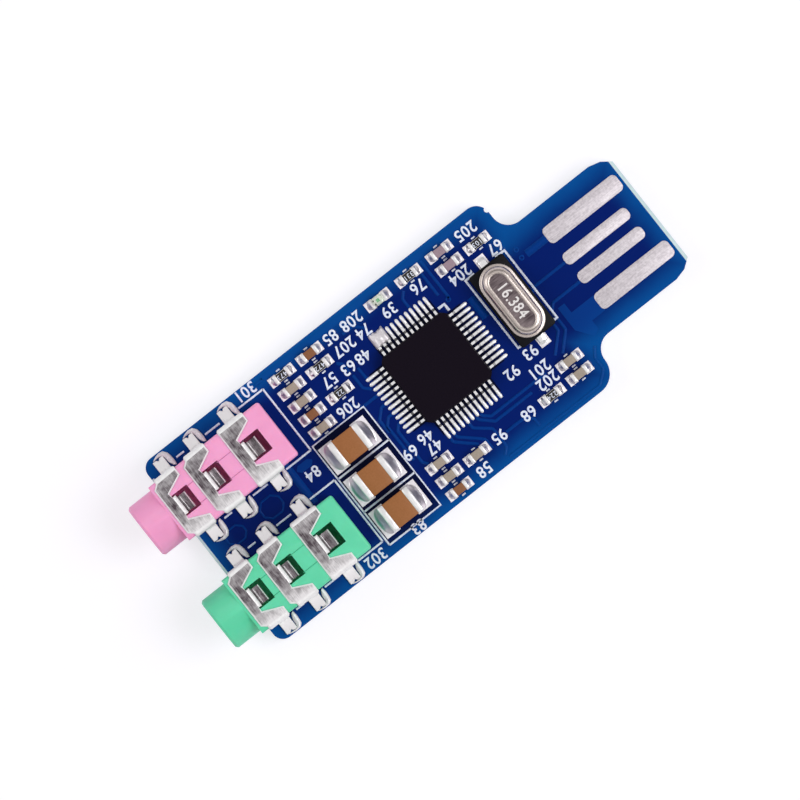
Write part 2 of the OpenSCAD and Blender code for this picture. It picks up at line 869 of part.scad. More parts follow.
module crystal_solder() {
    color("#dcdcda")
        for (s = [0, 1])
            at_crystal(0)
                mirror([0, s, 0])
                    translate([0, crystal_base_l / 2 + crystal_lead_run, 0])
                        rotate([0, 0, 90])
                            end_joint(crystal_lead_run, crystal_pad_run, crystal_pad_w, crystal_lead_t);
}

// Solder at a jack's feet is heaped on the side of each foot that faces the chip
heap_l = 0.7;
heap_h = 0.6;

module jack_solder() {
    foot_l = foot_reach - spring_t;
    heap_w = foot_l - 2 * foot_brim;
    color("#dcdcda")
        for (y = [mic_jack_y, speaker_jack_y], spring = SPRINGS, s = [0, 1])
            at_jack(y)
                mirror([0, s, 0])
                    translate([spring[0] + spring[4], jack_w / 2 + spring_t, 0]) {
                        cube([foot_w + heap_l, foot_l + foot_brim, pad_t]);
                        translate([foot_w, foot_brim + heap_w / 2, pad_t])
                            slab_across(heap_w)
                                lump(full_side(heap_l - foot_brim, heap_h));
                    }
}

function wanted(name) = node == "all" || node == name;

if (wanted("circuit_board")) circuit_board();
if (wanted(CONTACT_NAMES[0])) usb_contact(power_y, power_w, power_inset);
if (wanted(CONTACT_NAMES[1])) usb_contact(data_y, data_w, data_inset);
if (wanted(CONTACT_NAMES[2])) usb_contact(-data_y, data_w, data_inset);
if (wanted(CONTACT_NAMES[3])) usb_contact(-power_y, power_w, power_inset);
if (wanted("mic_jack_housing")) at_jack(mic_jack_y) jack_housing("#f29ac6");
if (wanted("speaker_jack_housing")) at_jack(speaker_jack_y) jack_housing("#5fd9a6");
for (i = [0 : len(SPRINGS) - 1])
    if (wanted(str("mic_jack_", SPRING_NAMES[i], "_spring")))
        at_jack(mic_jack_y) contact_spring(SPRINGS[i]);
for (i = [0 : len(SPRINGS) - 1])
    if (wanted(str("speaker_jack_", SPRING_NAMES[i], "_spring")))
        at_jack(speaker_jack_y) contact_spring(SPRINGS[i]);
if (wanted("codec_chip_body")) codec_chip_body();
if (wanted("codec_chip_leads")) codec_chip_leads();
if (wanted("crystal_base")) crystal_base();
if (wanted("crystal_can")) crystal_can();
if (wanted("crystal_leads")) crystal_leads();
for (i = [0 : len(BULK_Y) - 1])
    if (wanted(str("supply_capacitor_", i + 1))) supply_capacitor(BULK_Y[i]);
for (i = [0 : len(SMALL_CAP_AT) - 1])
    if (wanted(str("small_capacitor_", i + 1))) small_capacitor(i);
for (i = [0 : len(RESISTOR_AT) - 1])
    if (wanted(str("resistor_", i + 1))) resistor(i);
if (wanted("status_lamp")) status_lamp();
if (wanted("jack_solder")) jack_solder();
if (wanted("chip_solder")) chip_solder();
if (wanted("crystal_solder")) crystal_solder();
if (wanted("supply_capacitor_solder")) supply_capacitor_solder();
if (wanted("small_part_solder")) small_part_solder();
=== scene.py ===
import math

import bmesh
import bpy
from mathutils import Matrix, Vector


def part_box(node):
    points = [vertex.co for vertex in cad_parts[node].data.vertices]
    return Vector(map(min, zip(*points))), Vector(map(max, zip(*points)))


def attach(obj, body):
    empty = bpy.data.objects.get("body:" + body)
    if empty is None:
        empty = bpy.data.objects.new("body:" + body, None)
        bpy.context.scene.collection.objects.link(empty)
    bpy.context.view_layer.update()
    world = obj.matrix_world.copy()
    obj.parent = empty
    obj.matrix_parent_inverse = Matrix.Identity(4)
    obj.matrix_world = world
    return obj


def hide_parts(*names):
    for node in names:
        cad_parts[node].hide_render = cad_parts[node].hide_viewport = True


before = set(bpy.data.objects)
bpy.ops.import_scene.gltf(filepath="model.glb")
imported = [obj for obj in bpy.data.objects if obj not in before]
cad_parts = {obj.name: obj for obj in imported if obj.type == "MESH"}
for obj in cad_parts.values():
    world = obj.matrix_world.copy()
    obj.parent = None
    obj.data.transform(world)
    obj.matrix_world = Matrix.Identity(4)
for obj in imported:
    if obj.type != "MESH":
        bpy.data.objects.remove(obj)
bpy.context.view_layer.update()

# Circuit board: glass-epoxy laminate, routed to shape and drilled for the jacks' pegs, with glossy
# blue solder mask on both faces. Its cut edges are bare, and so are a strip at the tab's tip and one
# at the jack end, where the mask stops short of the cut.
MM = 0.001
BARE_TIP = 0.3
BARE_JACK_END = 0.22
BARE_HALF_W = 8.0
SHOULDER = 14.2
TAB_HALF = 6.0


def box_mm(node):
    """A CAD node's box in millimetres: its low corner and its high one."""
    return [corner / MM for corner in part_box(node)]


def linear(hex_colour):
    """An sRGB hex colour as a linear one."""
    channels = [int(hex_colour[i:i + 2], 16) / 255 for i in (1, 3, 5)]
    return *(c / 12.92 if c <= 0.04045 else ((c + 0.055) / 1.055) ** 2.4 for c in channels), 1


def add(tree, kind, links=None, **settings):
    """Adds a node. links gives its inputs, each a value, the socket that it comes from, or the node
    whose first output it is."""
    node = tree.nodes.new(kind)
    for key, value in settings.items():
        setattr(node, key, value)
    for key, value in (links or {}).items():
        if isinstance(value, bpy.types.Node):
            value = value.outputs[0]
        if isinstance(value, bpy.types.NodeSocket):
            tree.links.new(value, node.inputs[key])
        else:
            node.inputs[key].default_value = value
    return node


def new_material(name, **sockets):
    """A material with these values on its shader: (material, tree, shader, place on the object)."""
    material = bpy.data.materials.new(name)
    material.use_nodes = True
    shader = material.node_tree.nodes["Principled BSDF"]
    for key, value in sockets.items():
        shader.inputs[key.replace("_", " ")].default_value = value
    tree = material.node_tree
    return material, tree, shader, add(tree, "ShaderNodeTexCoord").outputs["Object"]


def copy_of(node):
    """A CAD node's shape in millimetres, with its loose triangles joined into whole faces."""
    bm = bmesh.new()
    bm.from_mesh(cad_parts[node].data)
    bmesh.ops.scale(bm, vec=(1 / MM,) * 3, verts=bm.verts)
    bmesh.ops.remove_doubles(bm, verts=bm.verts, dist=1e-4)
    bmesh.ops.dissolve_limit(bm, angle_limit=math.radians(1), verts=bm.verts, edges=bm.edges)
    return bm


def placed(name, data):
    """An object with this data, in the scene."""
    thing = bpy.data.objects.new(name, data)
    bpy.context.scene.collection.objects.link(thing)
    return thing


def shape_of(carrier):
    """The mesh that an object's modifiers or its text make. The object itself goes."""
    graph = bpy.context.evaluated_depsgraph_get()
    mesh = bpy.data.meshes.new_from_object(carrier.evaluated_get(graph), depsgraph=graph)
    bpy.data.objects.remove(carrier)
    return mesh


def laid(name, mesh, stands_for=()):
    """Makes a finished mesh in metres a piece of the object."""
    piece = placed(name, mesh)
    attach(piece, "root")
    if stands_for:
        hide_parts(*stands_for)


def finished(name, bm, materials, stands_for=(), bevel=0, smooth=35):
    """Makes a shape in millimetres a piece of the object, its sharp edges rounded by bevel."""
    mesh = bpy.data.meshes.new(name)
    bmesh.ops.scale(bm, vec=(MM,) * 3, verts=bm.verts)
    bm.to_mesh(mesh)
    bm.free()
    for material in materials:
        mesh.materials.append(material)
    if bevel:
        carrier = placed("carrier", mesh)
        rounding = carrier.modifiers.new("Bevel", "BEVEL")
        rounding.width = bevel * MM
        rounding.segments = 2
        rounding.limit_method = "ANGLE"
        rounding.angle_limit = math.radians(smooth)
        mesh = shape_of(carrier)
    mesh.shade_smooth()
    mesh.set_sharp_from_angle(angle=math.radians(smooth))
    laid(name, mesh, stands_for)


board_low, board_high = box_mm("circuit_board")
BOARD_TOP = board_high.z
BOARD_RECTANGLES = [(board_low.x, SHOULDER, board_high.y), (0, board_high.x, TAB_HALF)]
# The wave texture draws one band for each 2 * pi / 20 units of its scaled length
WEAVE_SCALE = 2 * math.pi / 20 / (0.8 * MM)


def mask_finish(name, deep, pale):
    """Glossy blue solder mask. It looks deep in the middle of the board and paler towards the edges,
    where light comes in through the cut laminate. The eye also sees slight clouding and the weave of
    the glass cloth, 0.5 mm a thread, drawn 0.8 mm so that it shows."""
    material, tree, shader, place = new_material(name, Roughness=0.22, IOR=1.5,
                                                 Specular_IOR_Level=0.045)
    part = add(tree, "ShaderNodeSeparateXYZ", {0: place})
    # How deep a point lies inside each of the board's two rectangles, and so inside the board
    depths = []
    for x_low, x_high, half_width in BOARD_RECTANGLES:
        along = add(tree, "ShaderNodeMath", {0: part.outputs["X"], 1: -(x_low + x_high) / 2 * MM})
        along = add(tree, "ShaderNodeMath", {0: along}, operation="ABSOLUTE")
        half_length = (x_high - x_low) / 2 * MM
        along = add(tree, "ShaderNodeMath", {0: half_length, 1: along}, operation="SUBTRACT")
        across = add(tree, "ShaderNodeMath", {0: part.outputs["Y"]}, operation="ABSOLUTE")
        across = add(tree, "ShaderNodeMath", {0: half_width * MM, 1: across}, operation="SUBTRACT")
        depths.append(add(tree, "ShaderNodeMath", {0: along, 1: across}, operation="MINIMUM"))
    depth = add(tree, "ShaderNodeMath", {0: depths[0], 1: depths[1]}, operation="MAXIMUM")
    cloud = add(tree, "ShaderNodeTexNoise", {"Vector": place, "Scale": 1 / (3 * MM), "Detail": 3})
    reach = add(tree, "ShaderNodeMath", {0: cloud, 1: 1.2 * MM, 2: depth}, operation="MULTIPLY_ADD")
    inside = add(tree, "ShaderNodeMapRange", {
        "Value": reach, "From Min": 0.4 * MM, "From Max": 3.1 * MM}, interpolation_type="SMOOTHSTEP")
    mix = add(tree, "ShaderNodeMix", {
        "Factor": inside, 6: linear(pale), 7: linear(deep)}, data_type="RGBA")
    tree.links.new(mix.outputs[2], shader.inputs["Base Color"])
    warp = add(tree, "ShaderNodeTexWave", {"Vector": place, "Scale": WEAVE_SCALE}, bands_direction="X")
    weft = add(tree, "ShaderNodeTexWave", {"Vector": place, "Scale": WEAVE_SCALE}, bands_direction="Y")
    weave = add(tree, "ShaderNodeMath", {0: warp.outputs["Fac"], 1: weft.outputs["Fac"]})
    bump = add(tree, "ShaderNodeBump", {"Height": weave, "Strength": 0.12, "Distance": 0.01 * MM})
    tree.links.new(bump.outputs[0], shader.inputs["Normal"])
    return material


mask = mask_finish("solder_mask_on_laminate", "#021d69", "#044e98")
mask_on_copper = mask_finish("solder_mask_on_copper", "#053785", "#064b96")
# A nearly black copy of the mask: painted shade under the chip's leads and round the supply capacitors
painted_shade_mask = mask_finish("solder_mask_painted_shade", "#020a35", "#04205e")

# Bare laminate: layers of glass cloth in pale resin, which show as thin lines on a cut edge
laminate, tree, shader, place = new_material("bare_laminate", Roughness=0.6, Subsurface_Weight=0.1,
                                             Subsurface_Scale=0.5 * MM)
layers = add(tree, "ShaderNodeMapping", {"Vector": place, "Scale": (1 / MM, 1 / MM, 6 / MM)})
grain = add(tree, "ShaderNodeTexNoise", {"Vector": layers, "Scale": 1.5, "Detail": 4})
mix = add(tree, "ShaderNodeMix", {
    "Factor": grain, 6: linear("#dcecef"), 7: linear("#b2cdd3")}, data_type="RGBA")
tree.links.new(mix.outputs[2], shader.inputs["Base Color"])


def cut_across(bm, at, across):
    """Parts the faces of a shape along a plane, so that each side can have its own finish."""
    whole = bm.verts[:] + bm.edges[:] + bm.faces[:]
    bmesh.ops.bisect_plane(bm, geom=whole, plane_co=at, plane_no=across)


bm = copy_of("circuit_board")
cut_across(bm, (board_low.x + BARE_JACK_END, 0, 0), (1, 0, 0))
cut_across(bm, (board_high.x - BARE_TIP, 0, 0), (1, 0, 0))
cut_across(bm, (0, BARE_HALF_W, 0), (0, 1, 0))
cut_across(bm, (0, -BARE_HALF_W, 0), (0, 1, 0))
for face in bm.faces:
    middle = face.calc_center_median()
    bare = middle.x > board_high.x - BARE_TIP
    bare |= middle.x < board_low.x + BARE_JACK_END and abs(middle.y) < BARE_HALF_W
    face.material_index = int(bare or abs(face.normal.z) < 0.5)
finished("circuit_board_masked", bm, [mask, laminate], ["circuit_board"])


# Copper tracks: etched copper foil under the mask, which shows as paler, slightly raised lines with
# bends of 45 degrees. They join the contacts, the chip and the parts around it.
def new_tree(name, **inputs):
    """A geometry tree with a mesh input and output and these named inputs: (tree, its input node)."""
    tree = bpy.data.node_groups.new(name, "GeometryNodeTree")
    tree.interface.new_socket("Geometry", in_out="INPUT", socket_type="NodeSocketGeometry")
    tree.interface.new_socket("Geometry", in_out="OUTPUT", socket_type="NodeSocketGeometry")
    for key, kind in inputs.items():
        tree.interface.new_socket(key, in_out="INPUT", socket_type="NodeSocket" + kind)
    return tree, tree.nodes.new("NodeGroupInput").outputs


def end_tree(tree, made, finish):
    """Ends a tree: makes what it has made real, and gives it its material."""
    whole = add(tree, "GeometryNodeRealizeInstances", {"Geometry": made})
    painted = add(tree, "GeometryNodeSetMaterial", {"Geometry": whole, "Material": finish})
    add(tree, "NodeGroupOutput", {"Geometry": painted})


def grown(tree, mesh, **values):
    """The mesh that a tree makes from a mesh, with these values on its inputs."""
    carrier = placed("carrier", mesh)
    grow = carrier.modifiers.new("grow", "NODES")
    grow.node_group = tree
    for item in tree.interface.items_tree:
        if item.in_out == "INPUT" and item.name in values:
            grow[item.identifier] = values[item.name]
    return shape_of(carrier)


def lines_mesh(lines, z=0):
    """A mesh of bare edges along lines of points, which are given in millimetres."""
    mesh = bpy.data.meshes.new("lines")
    points, edges = [], []
    for line in lines:
        edges += [(len(points) + i, len(points) + i + 1) for i in range(len(line) - 1)]
        points += [Vector((p[0], p[1], p[2] if len(p) > 2 else z)) * MM for p in line]
    mesh.from_pydata(points, edges, [])
    return mesh


# Lays a flat strip along each line. Its bends are rounded, and its middle lies on the line.
strip, given = new_tree("strip_along_lines", Width="Float", Height="Float", Bend="Float",
                        Finish="Material")
curve = add(strip, "GeometryNodeMeshToCurve", {"Mesh": given["Geometry"]})
curve = add(strip, "GeometryNodeFilletCurve", {
    "Curve": curve, "Radius": given["Bend"], "Count": 4, "Limit Radius": True}, mode="POLY")
curve = add(strip, "GeometryNodeSetCurveNormal", {"Curve": curve}, mode="Z_UP")
section = add(strip, "GeometryNodeCurvePrimitiveQuadrilateral", {
    "Width": given["Width"], "Height": given["Height"]})
swept = add(strip, "GeometryNodeCurveToMesh", {
    "Curve": curve, "Profile Curve": section, "Fill Caps": True})
end_tree(strip, swept, given["Finish"])


def strips(name, lines, width, height, finish, bend=0):
    """Lays strips along lines on the board, half sunk, so that they stand out by height."""
    mesh = grown(strip, lines_mesh(lines, BOARD_TOP), Width=width * MM, Height=2 * height * MM,
                 Bend=bend * MM, Finish=finish)
    laid(name, mesh)


COPPER_H = 0.03
TRACK_BEND = 0.25
SIGNAL_TRACKS = [
    [(16.8, 0.9), (13.35, 0.9)],
    [(16.8, -1.13), (13.75, -1.13), (13.2, -1.68), (13.2, -3.53), (11.75, -5.0)],
    [(13.2, 0.9), (12.65, 0.35), (12.65, -3.23), (11.15, -4.73)],
    [(14.25, -6.13), (13.65, -6.93), (13.65, -8.13), (12.55, -9.03), (2.9, -9.03)],
    [(-2.5, 1.87), (-4.2, 1.87), (-5.1, 2.7)],
    [(-2.5, 0.87), (-3, 0.87), (-3.8, 0.1), (-3.8, -1.2)],
    [(-2.5, -0.13), (-3.05, -0.13), (-3.6, -0.7), (-3.6, -4.3)],
    [(-2.5, -1.13), (-2.75, -1.13), (-3.15, -1.53), (-3.15, -4.9), (-2.8, -5.3)],
    [(-3.22, 4.47), (-3.22, 3.1), (-2.7, 2.6)],
    [(-2.5, 4.7), (-2.5, 3.6), (-2.2, 3.3)],
    [(-3.7, 6.1), (-3.3, 5.7), (-3.3, 4.9)],
    [(-0.05, -4.7), (-0.05, -5.13), (1.5, -6.6)],
    [(0.45, -4.7), (0.45, -5.0), (2.2, -6.6), (2.2, -7.6)],
    [(1.95, -4.7), (1.95, -5.23), (3.25, -6.3), (3.25, -8.2), (2.7, -8.7)],
    [(2.75, -4.7), (2.75, -4.95), (3.8, -5.95), (7.7, -5.95)],
    [(3.95, -7.23), (5.9, -7.23), (6.5, -7.8), (6.5, -8.5)],
    [(6.55, 8.5), (6.55, 5.3)],
    [(7.15, 8.5), (7.15, 4.6)],
    [(-10.2, 8.9), (-9.4, 8.9)],
    [(3.2, -4.7), (3.2, -4.9), (3.8, -5.4), (9.6, -5.4)],
    [(4, 6.0), (4, 6.9), (4.5, 7.4)],
    [(0, 6.0), (0, 7.0), (-0.7, 7.7), (-1.8, 7.7)],
]
POWER_TRACKS = [
    [(16.8, 3.47), (14.5, 3.47)],
    [(8.55, 3.5), (8.55, 1.35)],
    [(-12.35, 2.2), (-12.35, -2.0)],
]
for name, lines, width in (("signal_tracks", SIGNAL_TRACKS, 0.28), ("power_tracks", POWER_TRACKS, 0.7)):
    strips(name, lines, width, COPPER_H, mask_on_copper, TRACK_BEND)


# Copper pours: wider fields of the same foil, that carry supply and ground
def slab(bm, outline, half_t):
    """Adds a plate about the board's top. Its outline runs so that its inside is on the left."""
    under, over = ([bm.verts.new((x, y, z)) for x, y in outline]
                   for z in (BOARD_TOP - half_t, BOARD_TOP + half_t))
    bm.faces.new(over)
    bm.faces.new(under[::-1])
    for i in range(len(outline)):
        bm.faces.new((under[i - 1], under[i], over[i], over[i - 1]))


def eight_sided(x, y, half_l, half_w, cut):
    """The outline of a field whose four corners are cut off."""
    left, right, near, far = x - half_l, x + half_l, y - half_w, y + half_w
    return [(left, near + cut), (left + cut, near), (right - cut, near), (right, near + cut),
            (right, far - cut), (right - cut, far), (left + cut, far), (left, far - cut)]


bm = bmesh.new()
for outline in (
    [(13.75, -1.75), (13.75, -4.1), (14.8, -5.5), (15.4, -5.2), (15.4, -4.33),
     (16.8, -4.33), (16.8, -2.73), (14.45, -2.73), (14.45, -1.75)],
    [(-9.2, 8.65), (12.8, 8.65), (12.8, 8.8), (12.5, 9.2), (-9.5, 9.2), (-9.5, 8.95)],
    eight_sided(-11.1, 1.0, 0.8, 0.35, 0.3),
):
    slab(bm, outline, COPPER_H)
finished("copper_pours", bm, [mask_on_copper])

# Under the chip's leads and round the supply capacitors the mask is painted nearly black: painted
# shade, where the chip and the capacitors shade the board
PAINTED_SHADE_H = 0.01
# The painted shade under the leads is a cross: its middle, half its arms' width, and how far they reach
LEADS_X, LEADS_Y, LEADS_HALF, LEADS_RUN = 2.7, 0.62, 3.05, 4.85
SUPPLY_BOX = (-9.6, -4.15, -8.63, 1.87)
near, far = LEADS_HALF, LEADS_RUN
cross = [(far, -near), (far, near), (near, near), (near, far), (-near, far), (-near, near),
         (-far, near), (-far, -near), (-near, -near), (-near, -far), (near, -far), (near, -near)]
x0, x1, y0, y1 = SUPPLY_BOX
around_supply = [(x0, y0), (x1, y0), (x1, y1), (x0, y1)]
bm = bmesh.new()
for outline in ([(LEADS_X + x, LEADS_Y + y) for x, y in cross], around_supply):
    slab(bm, outline, PAINTED_SHADE_H)
finished("painted_shade_fields", bm, [painted_shade_mask])

# Between the jacks, gaps etched round two fields of copper show as thin pale lines
borders = [eight_sided(-15.4, 0, 1.0, 0.85, 0.5), eight_sided(-19.2, 0, 0.9, 0.7, 0.45)]
strips("pour_borders", [line + line[:1] for line in borders], 0.2, COPPER_H, mask_on_copper)

# Vias: small holes plated through the board and closed by the mask, with a small ring of copper
# around each. They join the tracks on the two faces.
VIA_D, VIA_HOLE_D = 0.5, 0.2
VIAS = [(14.05, 4.27), (14.0, 3.47), (7.0, 4.52)]
ringed, given = new_tree("ring_at_points", Outer="Float", Inner="Float", Height="Float",
                         Finish="Material")
middle_r = add(ringed, "ShaderNodeMath", {0: given["Outer"], 1: given["Inner"]})
middle_r = add(ringed, "ShaderNodeMath", {0: middle_r, 1: 0.25}, operation="MULTIPLY")
circle = add(ringed, "GeometryNodeCurvePrimitiveCircle", {"Resolution": 24, "Radius": middle_r})
wall = add(ringed, "ShaderNodeMath", {0: given["Outer"], 1: given["Inner"]}, operation="SUBTRACT")
wall = add(ringed, "ShaderNodeMath", {0: wall, 1: 0.5}, operation="MULTIPLY")
section = add(ringed, "GeometryNodeCurvePrimitiveQuadrilateral", {
    "Width": wall, "Height": given["Height"]})
turned = add(ringed, "GeometryNodeSetCurveNormal", {"Curve": circle}, mode="Z_UP")
ring = add(ringed, "GeometryNodeCurveToMesh", {"Curve": turned, "Profile Curve": section})
rings = add(ringed, "GeometryNodeInstanceOnPoints", {"Points": given["Geometry"], "Instance": ring})
end_tree(ringed, rings, given["Finish"])
points = bpy.data.meshes.new("vias")
points.from_pydata([Vector((x, y, BOARD_TOP)) * MM for x, y in VIAS], [], [])
laid("vias", grown(ringed, points, Outer=VIA_D * MM, Inner=VIA_HOLE_D * MM, Height=2 * COPPER_H * MM,
                   Finish=mask_on_copper))

# Printed marks: white ink, screened on the mask, half matt and a little thin in places. Outlines show
# where parts stand, and each part has a plain number beside it.
INK_H = 0.045
ink, tree, shader, place = new_material("printed_ink", Roughness=0.55)
cover = add(tree, "ShaderNodeTexNoise", {"Vector": place, "Scale": 1 / (0.25 * MM), "Detail": 3})
thin = add(tree, "ShaderNodeMapRange", {"Value": cover, "From Min": 0.25, "From Max": 0.6})
mix = add(tree, "ShaderNodeMix", {
    "Factor": thin, 6: linear("#c2cff2"), 7: linear("#eff3fd")}, data_type="RGBA")
tree.links.new(mix.outputs[2], shader.inputs["Base Color"])

JACK_BOX_X = -9.88
MIC_BOX = (8.22, 1.72)
SPEAKER_BOX = (-1.48, -8.03)
SUPPLY_DIVIDERS = (-1.63, -5.13)
CRYSTAL_BRACKETS = (9.1, 13.25)
BRACKET_Y = (4.85, -2.3)
BRACKET_STUBS = (0.95, 0.35)
# The stretches of the jacks' outlines that their feet leave free
BETWEEN_FEET = [(-19.1, -18.3), (-16.05, -14.5), (-12.5, JACK_BOX_X)]
outlines = [[(JACK_BOX_X, MIC_BOX[0]), (JACK_BOX_X, MIC_BOX[1])],
            [(JACK_BOX_X, SPEAKER_BOX[0]), (JACK_BOX_X, SPEAKER_BOX[1])]]
outlines += [[(a, y), (b, y)] for y in MIC_BOX + SPEAKER_BOX for a, b in BETWEEN_FEET]
outlines += [around_supply + around_supply[:1]]
outlines += [[(x0, y), (x1, y)] for y in SUPPLY_DIVIDERS]
brackets = [[(5.85, 4.42), (6.5, 4.42), (6.5, 3.75)]]
for x, inward in zip(CRYSTAL_BRACKETS, (1, -1)):
    brackets.append([(x + inward * BRACKET_STUBS[0], BRACKET_Y[0]), (x, BRACKET_Y[0]),
                     (x, BRACKET_Y[1]), (x + inward * BRACKET_STUBS[1], BRACKET_Y[1])])
for name, lines, width in (("printed_outlines", outlines, 0.17), ("printed_brackets", brackets, 0.26)):
    strips(name, lines, width, INK_H, ink)

SMALL_PARTS = sorted(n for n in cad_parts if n.startswith(("small_capacitor", "resistor")))
DASH_L, DASH_OFF = 0.36, 0.56
dashes = []
for node in SMALL_PARTS:
    low, high = box_mm(node)
    x, y = (low.x + high.x) / 2, (low.y + high.y) / 2
    for at in (y - DASH_OFF, y + DASH_OFF):
        dashes.append([(x - DASH_L / 2, at), (x + DASH_L / 2, at)])
strips("printed_dashes", dashes, 0.14, INK_H, ink)


def lettering(text, x, y, z, height, turn, thickness, squeeze=1.0, weight=0.0):
    """Plain figures as a shape in millimetres, centred at x and y and turned by degrees about Z."""
    curve = bpy.data.curves.new("figures", "FONT")
    curve.body = text
    curve.align_x = curve.align_y = "CENTER"
    # The built-in figures stand 0.69 of the text size high
    curve.size = height / 0.69
    curve.extrude = thickness / 2
    curve.offset = weight
    curve.resolution_u = 3
    curve.space_character = 1.08
    mesh = shape_of(placed("figures", curve))
    mesh.transform(Matrix.Translation((x, y, z)) @ Matrix.Rotation(math.radians(turn), 4, "Z")
                   @ Matrix.Diagonal((squeeze, 1, 1, 1)))
    return mesh


NUMBERS = [("84", -10.95, 0.12), ("206", -5.25, 2.62), ("57", -5, 5.37), ("63", -3.15, 5.22),
           ("48", -1.6, 5.22), ("207", -2.3, 6.82), ("74", -0.25, 6.87), ("85", -2.75, 8.17),
           ("208", -0.55, 8.17), ("39", 2.55, 6.92), ("76", 5.65, 6.97), ("205", 11.65, 8.17),
           ("204", 9.05, 5.57), ("67", 12.8, 5.57), ("92", 7.4, -3.58), ("93", 9.65, -3.18),
           ("201", 9.35, -4.78), ("202", 9.35, -5.93), ("68", 6.4, -7.13), ("95", 3.25, -7.13),
           ("58", 0.55, -8.53), ("69", -3.45, -3.58), ("46", -1.65, -3.33), ("47", -1.55, -4.43),
           ("83", -6.75, -8.88), ("301", -11.2, 9.0), ("302", -11.2, -8.75)]
NUMBER_H, SQUEEZE, WEIGHT = 0.98, 0.9, 0.025
bm = bmesh.new()
for text, x, y in NUMBERS:
    bm.from_mesh(lettering(text, x, y, BOARD_TOP, NUMBER_H, 180, 2 * INK_H, SQUEEZE, WEIGHT))
finished("printed_numbers", bm, [ink])

# Contacts on the tab: copper plated with tin or pale gold, rubbed by the socket's springs, so that
# the eye sees satin metal with fine scratches along the tab
plating, tree, shader, place = new_material("plated_contact", Metallic=0.75, Roughness=0.55)
along = add(tree, "ShaderNodeMapping", {"Vector": place, "Scale": (0.25 / MM, 3 / MM, 1 / MM)})
scratch = add(tree, "ShaderNodeTexNoise", {"Vector": along, "Scale": 4, "Detail": 6})
grains = add(tree, "ShaderNodeTexNoise", {"Vector": place, "Scale": 1 / (0.18 * MM), "Detail": 4})
mixed = add(tree, "ShaderNodeMath", {0: scratch, 1: grains})
tone = add(tree, "ShaderNodeMapRange", {"Value": mixed, "From Min": 0.75, "From Max": 1.2})
mix = add(tree, "ShaderNodeMix", {
    "Factor": tone, 6: linear("#bfb7bd"), 7: linear("#dcd5da")}, data_type="RGBA")
tree.links.new(mix.outputs[2], shader.inputs["Base Color"])
bump = add(tree, "ShaderNodeBump", {"Height": mixed, "Strength": 0.25, "Distance": 0.004 * MM})
tree.links.new(bump.outputs[0], shader.inputs["Normal"])
for wire in ("power", "data_minus", "data_plus", "ground"):
    finished(f"plated_contact_{wire}", copy_of(f"usb_contact_{wire}"), [plating],
             [f"usb_contact_{wire}"], bevel=0.04)


# Jack bodies: moulded in glass-filled PBT, pink for the microphone and mint green for the speaker.
# It gives the eye a satin surface, even in colour, with slightly rounded edges. The mould's inserts
# leave fine flash lines across the top, in line with the windows, and their darker colour is painted
# shade.
def moulded_plastic(name, colour, shade):
    material, tree, shader, place = new_material(name, Roughness=0.45, IOR=1.54, Subsurface_Weight=0.15,
                                                 Subsurface_Scale=0.6 * MM)
    cloud = add(tree, "ShaderNodeTexNoise", {"Vector": place, "Scale": 1 / (1.5 * MM), "Detail": 4})
    mix = add(tree, "ShaderNodeMix", {
        "Factor": cloud, 6: linear(shade), 7: linear(colour)}, data_type="RGBA")
    tree.links.new(mix.outputs[2], shader.inputs["Base Color"])
    pores = add(tree, "ShaderNodeTexNoise", {"Vector": place, "Scale": 1 / (0.08 * MM), "Detail": 2})
    bump = add(tree, "ShaderNodeBump", {"Height": pores, "Strength": 0.2, "Distance": 0.01 * MM})
    tree.links.new(bump.outputs[0], shader.inputs["Normal"])
    return material


JACKS = {"mic": moulded_plastic("pink_pbt", "#ffaad7", "#f29ac9"),
         "speaker": moulded_plastic("mint_green_pbt", "#66e0b2", "#52d0a1")}
# Darker copies of the plastics for the flash lines: painted shade along the thin ridges
FLASH_PAINTED_SHADE = {"mic": moulded_plastic("pink_pbt_flash_painted_shade", "#e083b3", "#cf6da2"),
         "speaker": moulded_plastic("mint_green_pbt_flash_painted_shade", "#3cb98a", "#2fa578")}
FLASH_W, FLASH_H = 0.06, 0.02
POLES = ("sleeve", "ring", "tip")
WINDOW_HALF = 0.9
# A flash line starts behind one window, measured from its spring's front, and ends at the next one
FLASH_FROM, FLASH_TO = 2.45, 0.1
for jack, plastic in JACKS.items():
    housing = f"{jack}_jack_housing"
    finished(f"{jack}_jack_body", copy_of(housing), [plastic], [housing],
             bevel=0.07)
    low, high = box_mm(housing)
    middle = (low.y + high.y) / 2
    springs = [box_mm(f"{jack}_jack_{pole}_spring") for pole in POLES]
    lines = []
    for (here, _), (following, _) in zip(springs, springs[1:]):
        for side in (1, -1):
            y = middle + side * WINDOW_HALF
            lines.append([(here.x + FLASH_FROM, y, high.z), (following.x + FLASH_TO, y, high.z)])
    strips(f"{jack}_jack_flash_lines", lines, FLASH_W, FLASH_H, FLASH_PAINTED_SHADE[jack])

# Contact springs: stamped from tinned spring sheet and folded over the jack. The band across the top
# is painted dark and mottled, a painted reflection, and brighter towards the folds, a painted
# highlight.
# The sheet's cut edges are broken by the stamping, and painted nearly white as a highlight.
spring_metal, tree, shader, place = new_material("tinned_spring_sheet", Metallic=1, Roughness=0.28)
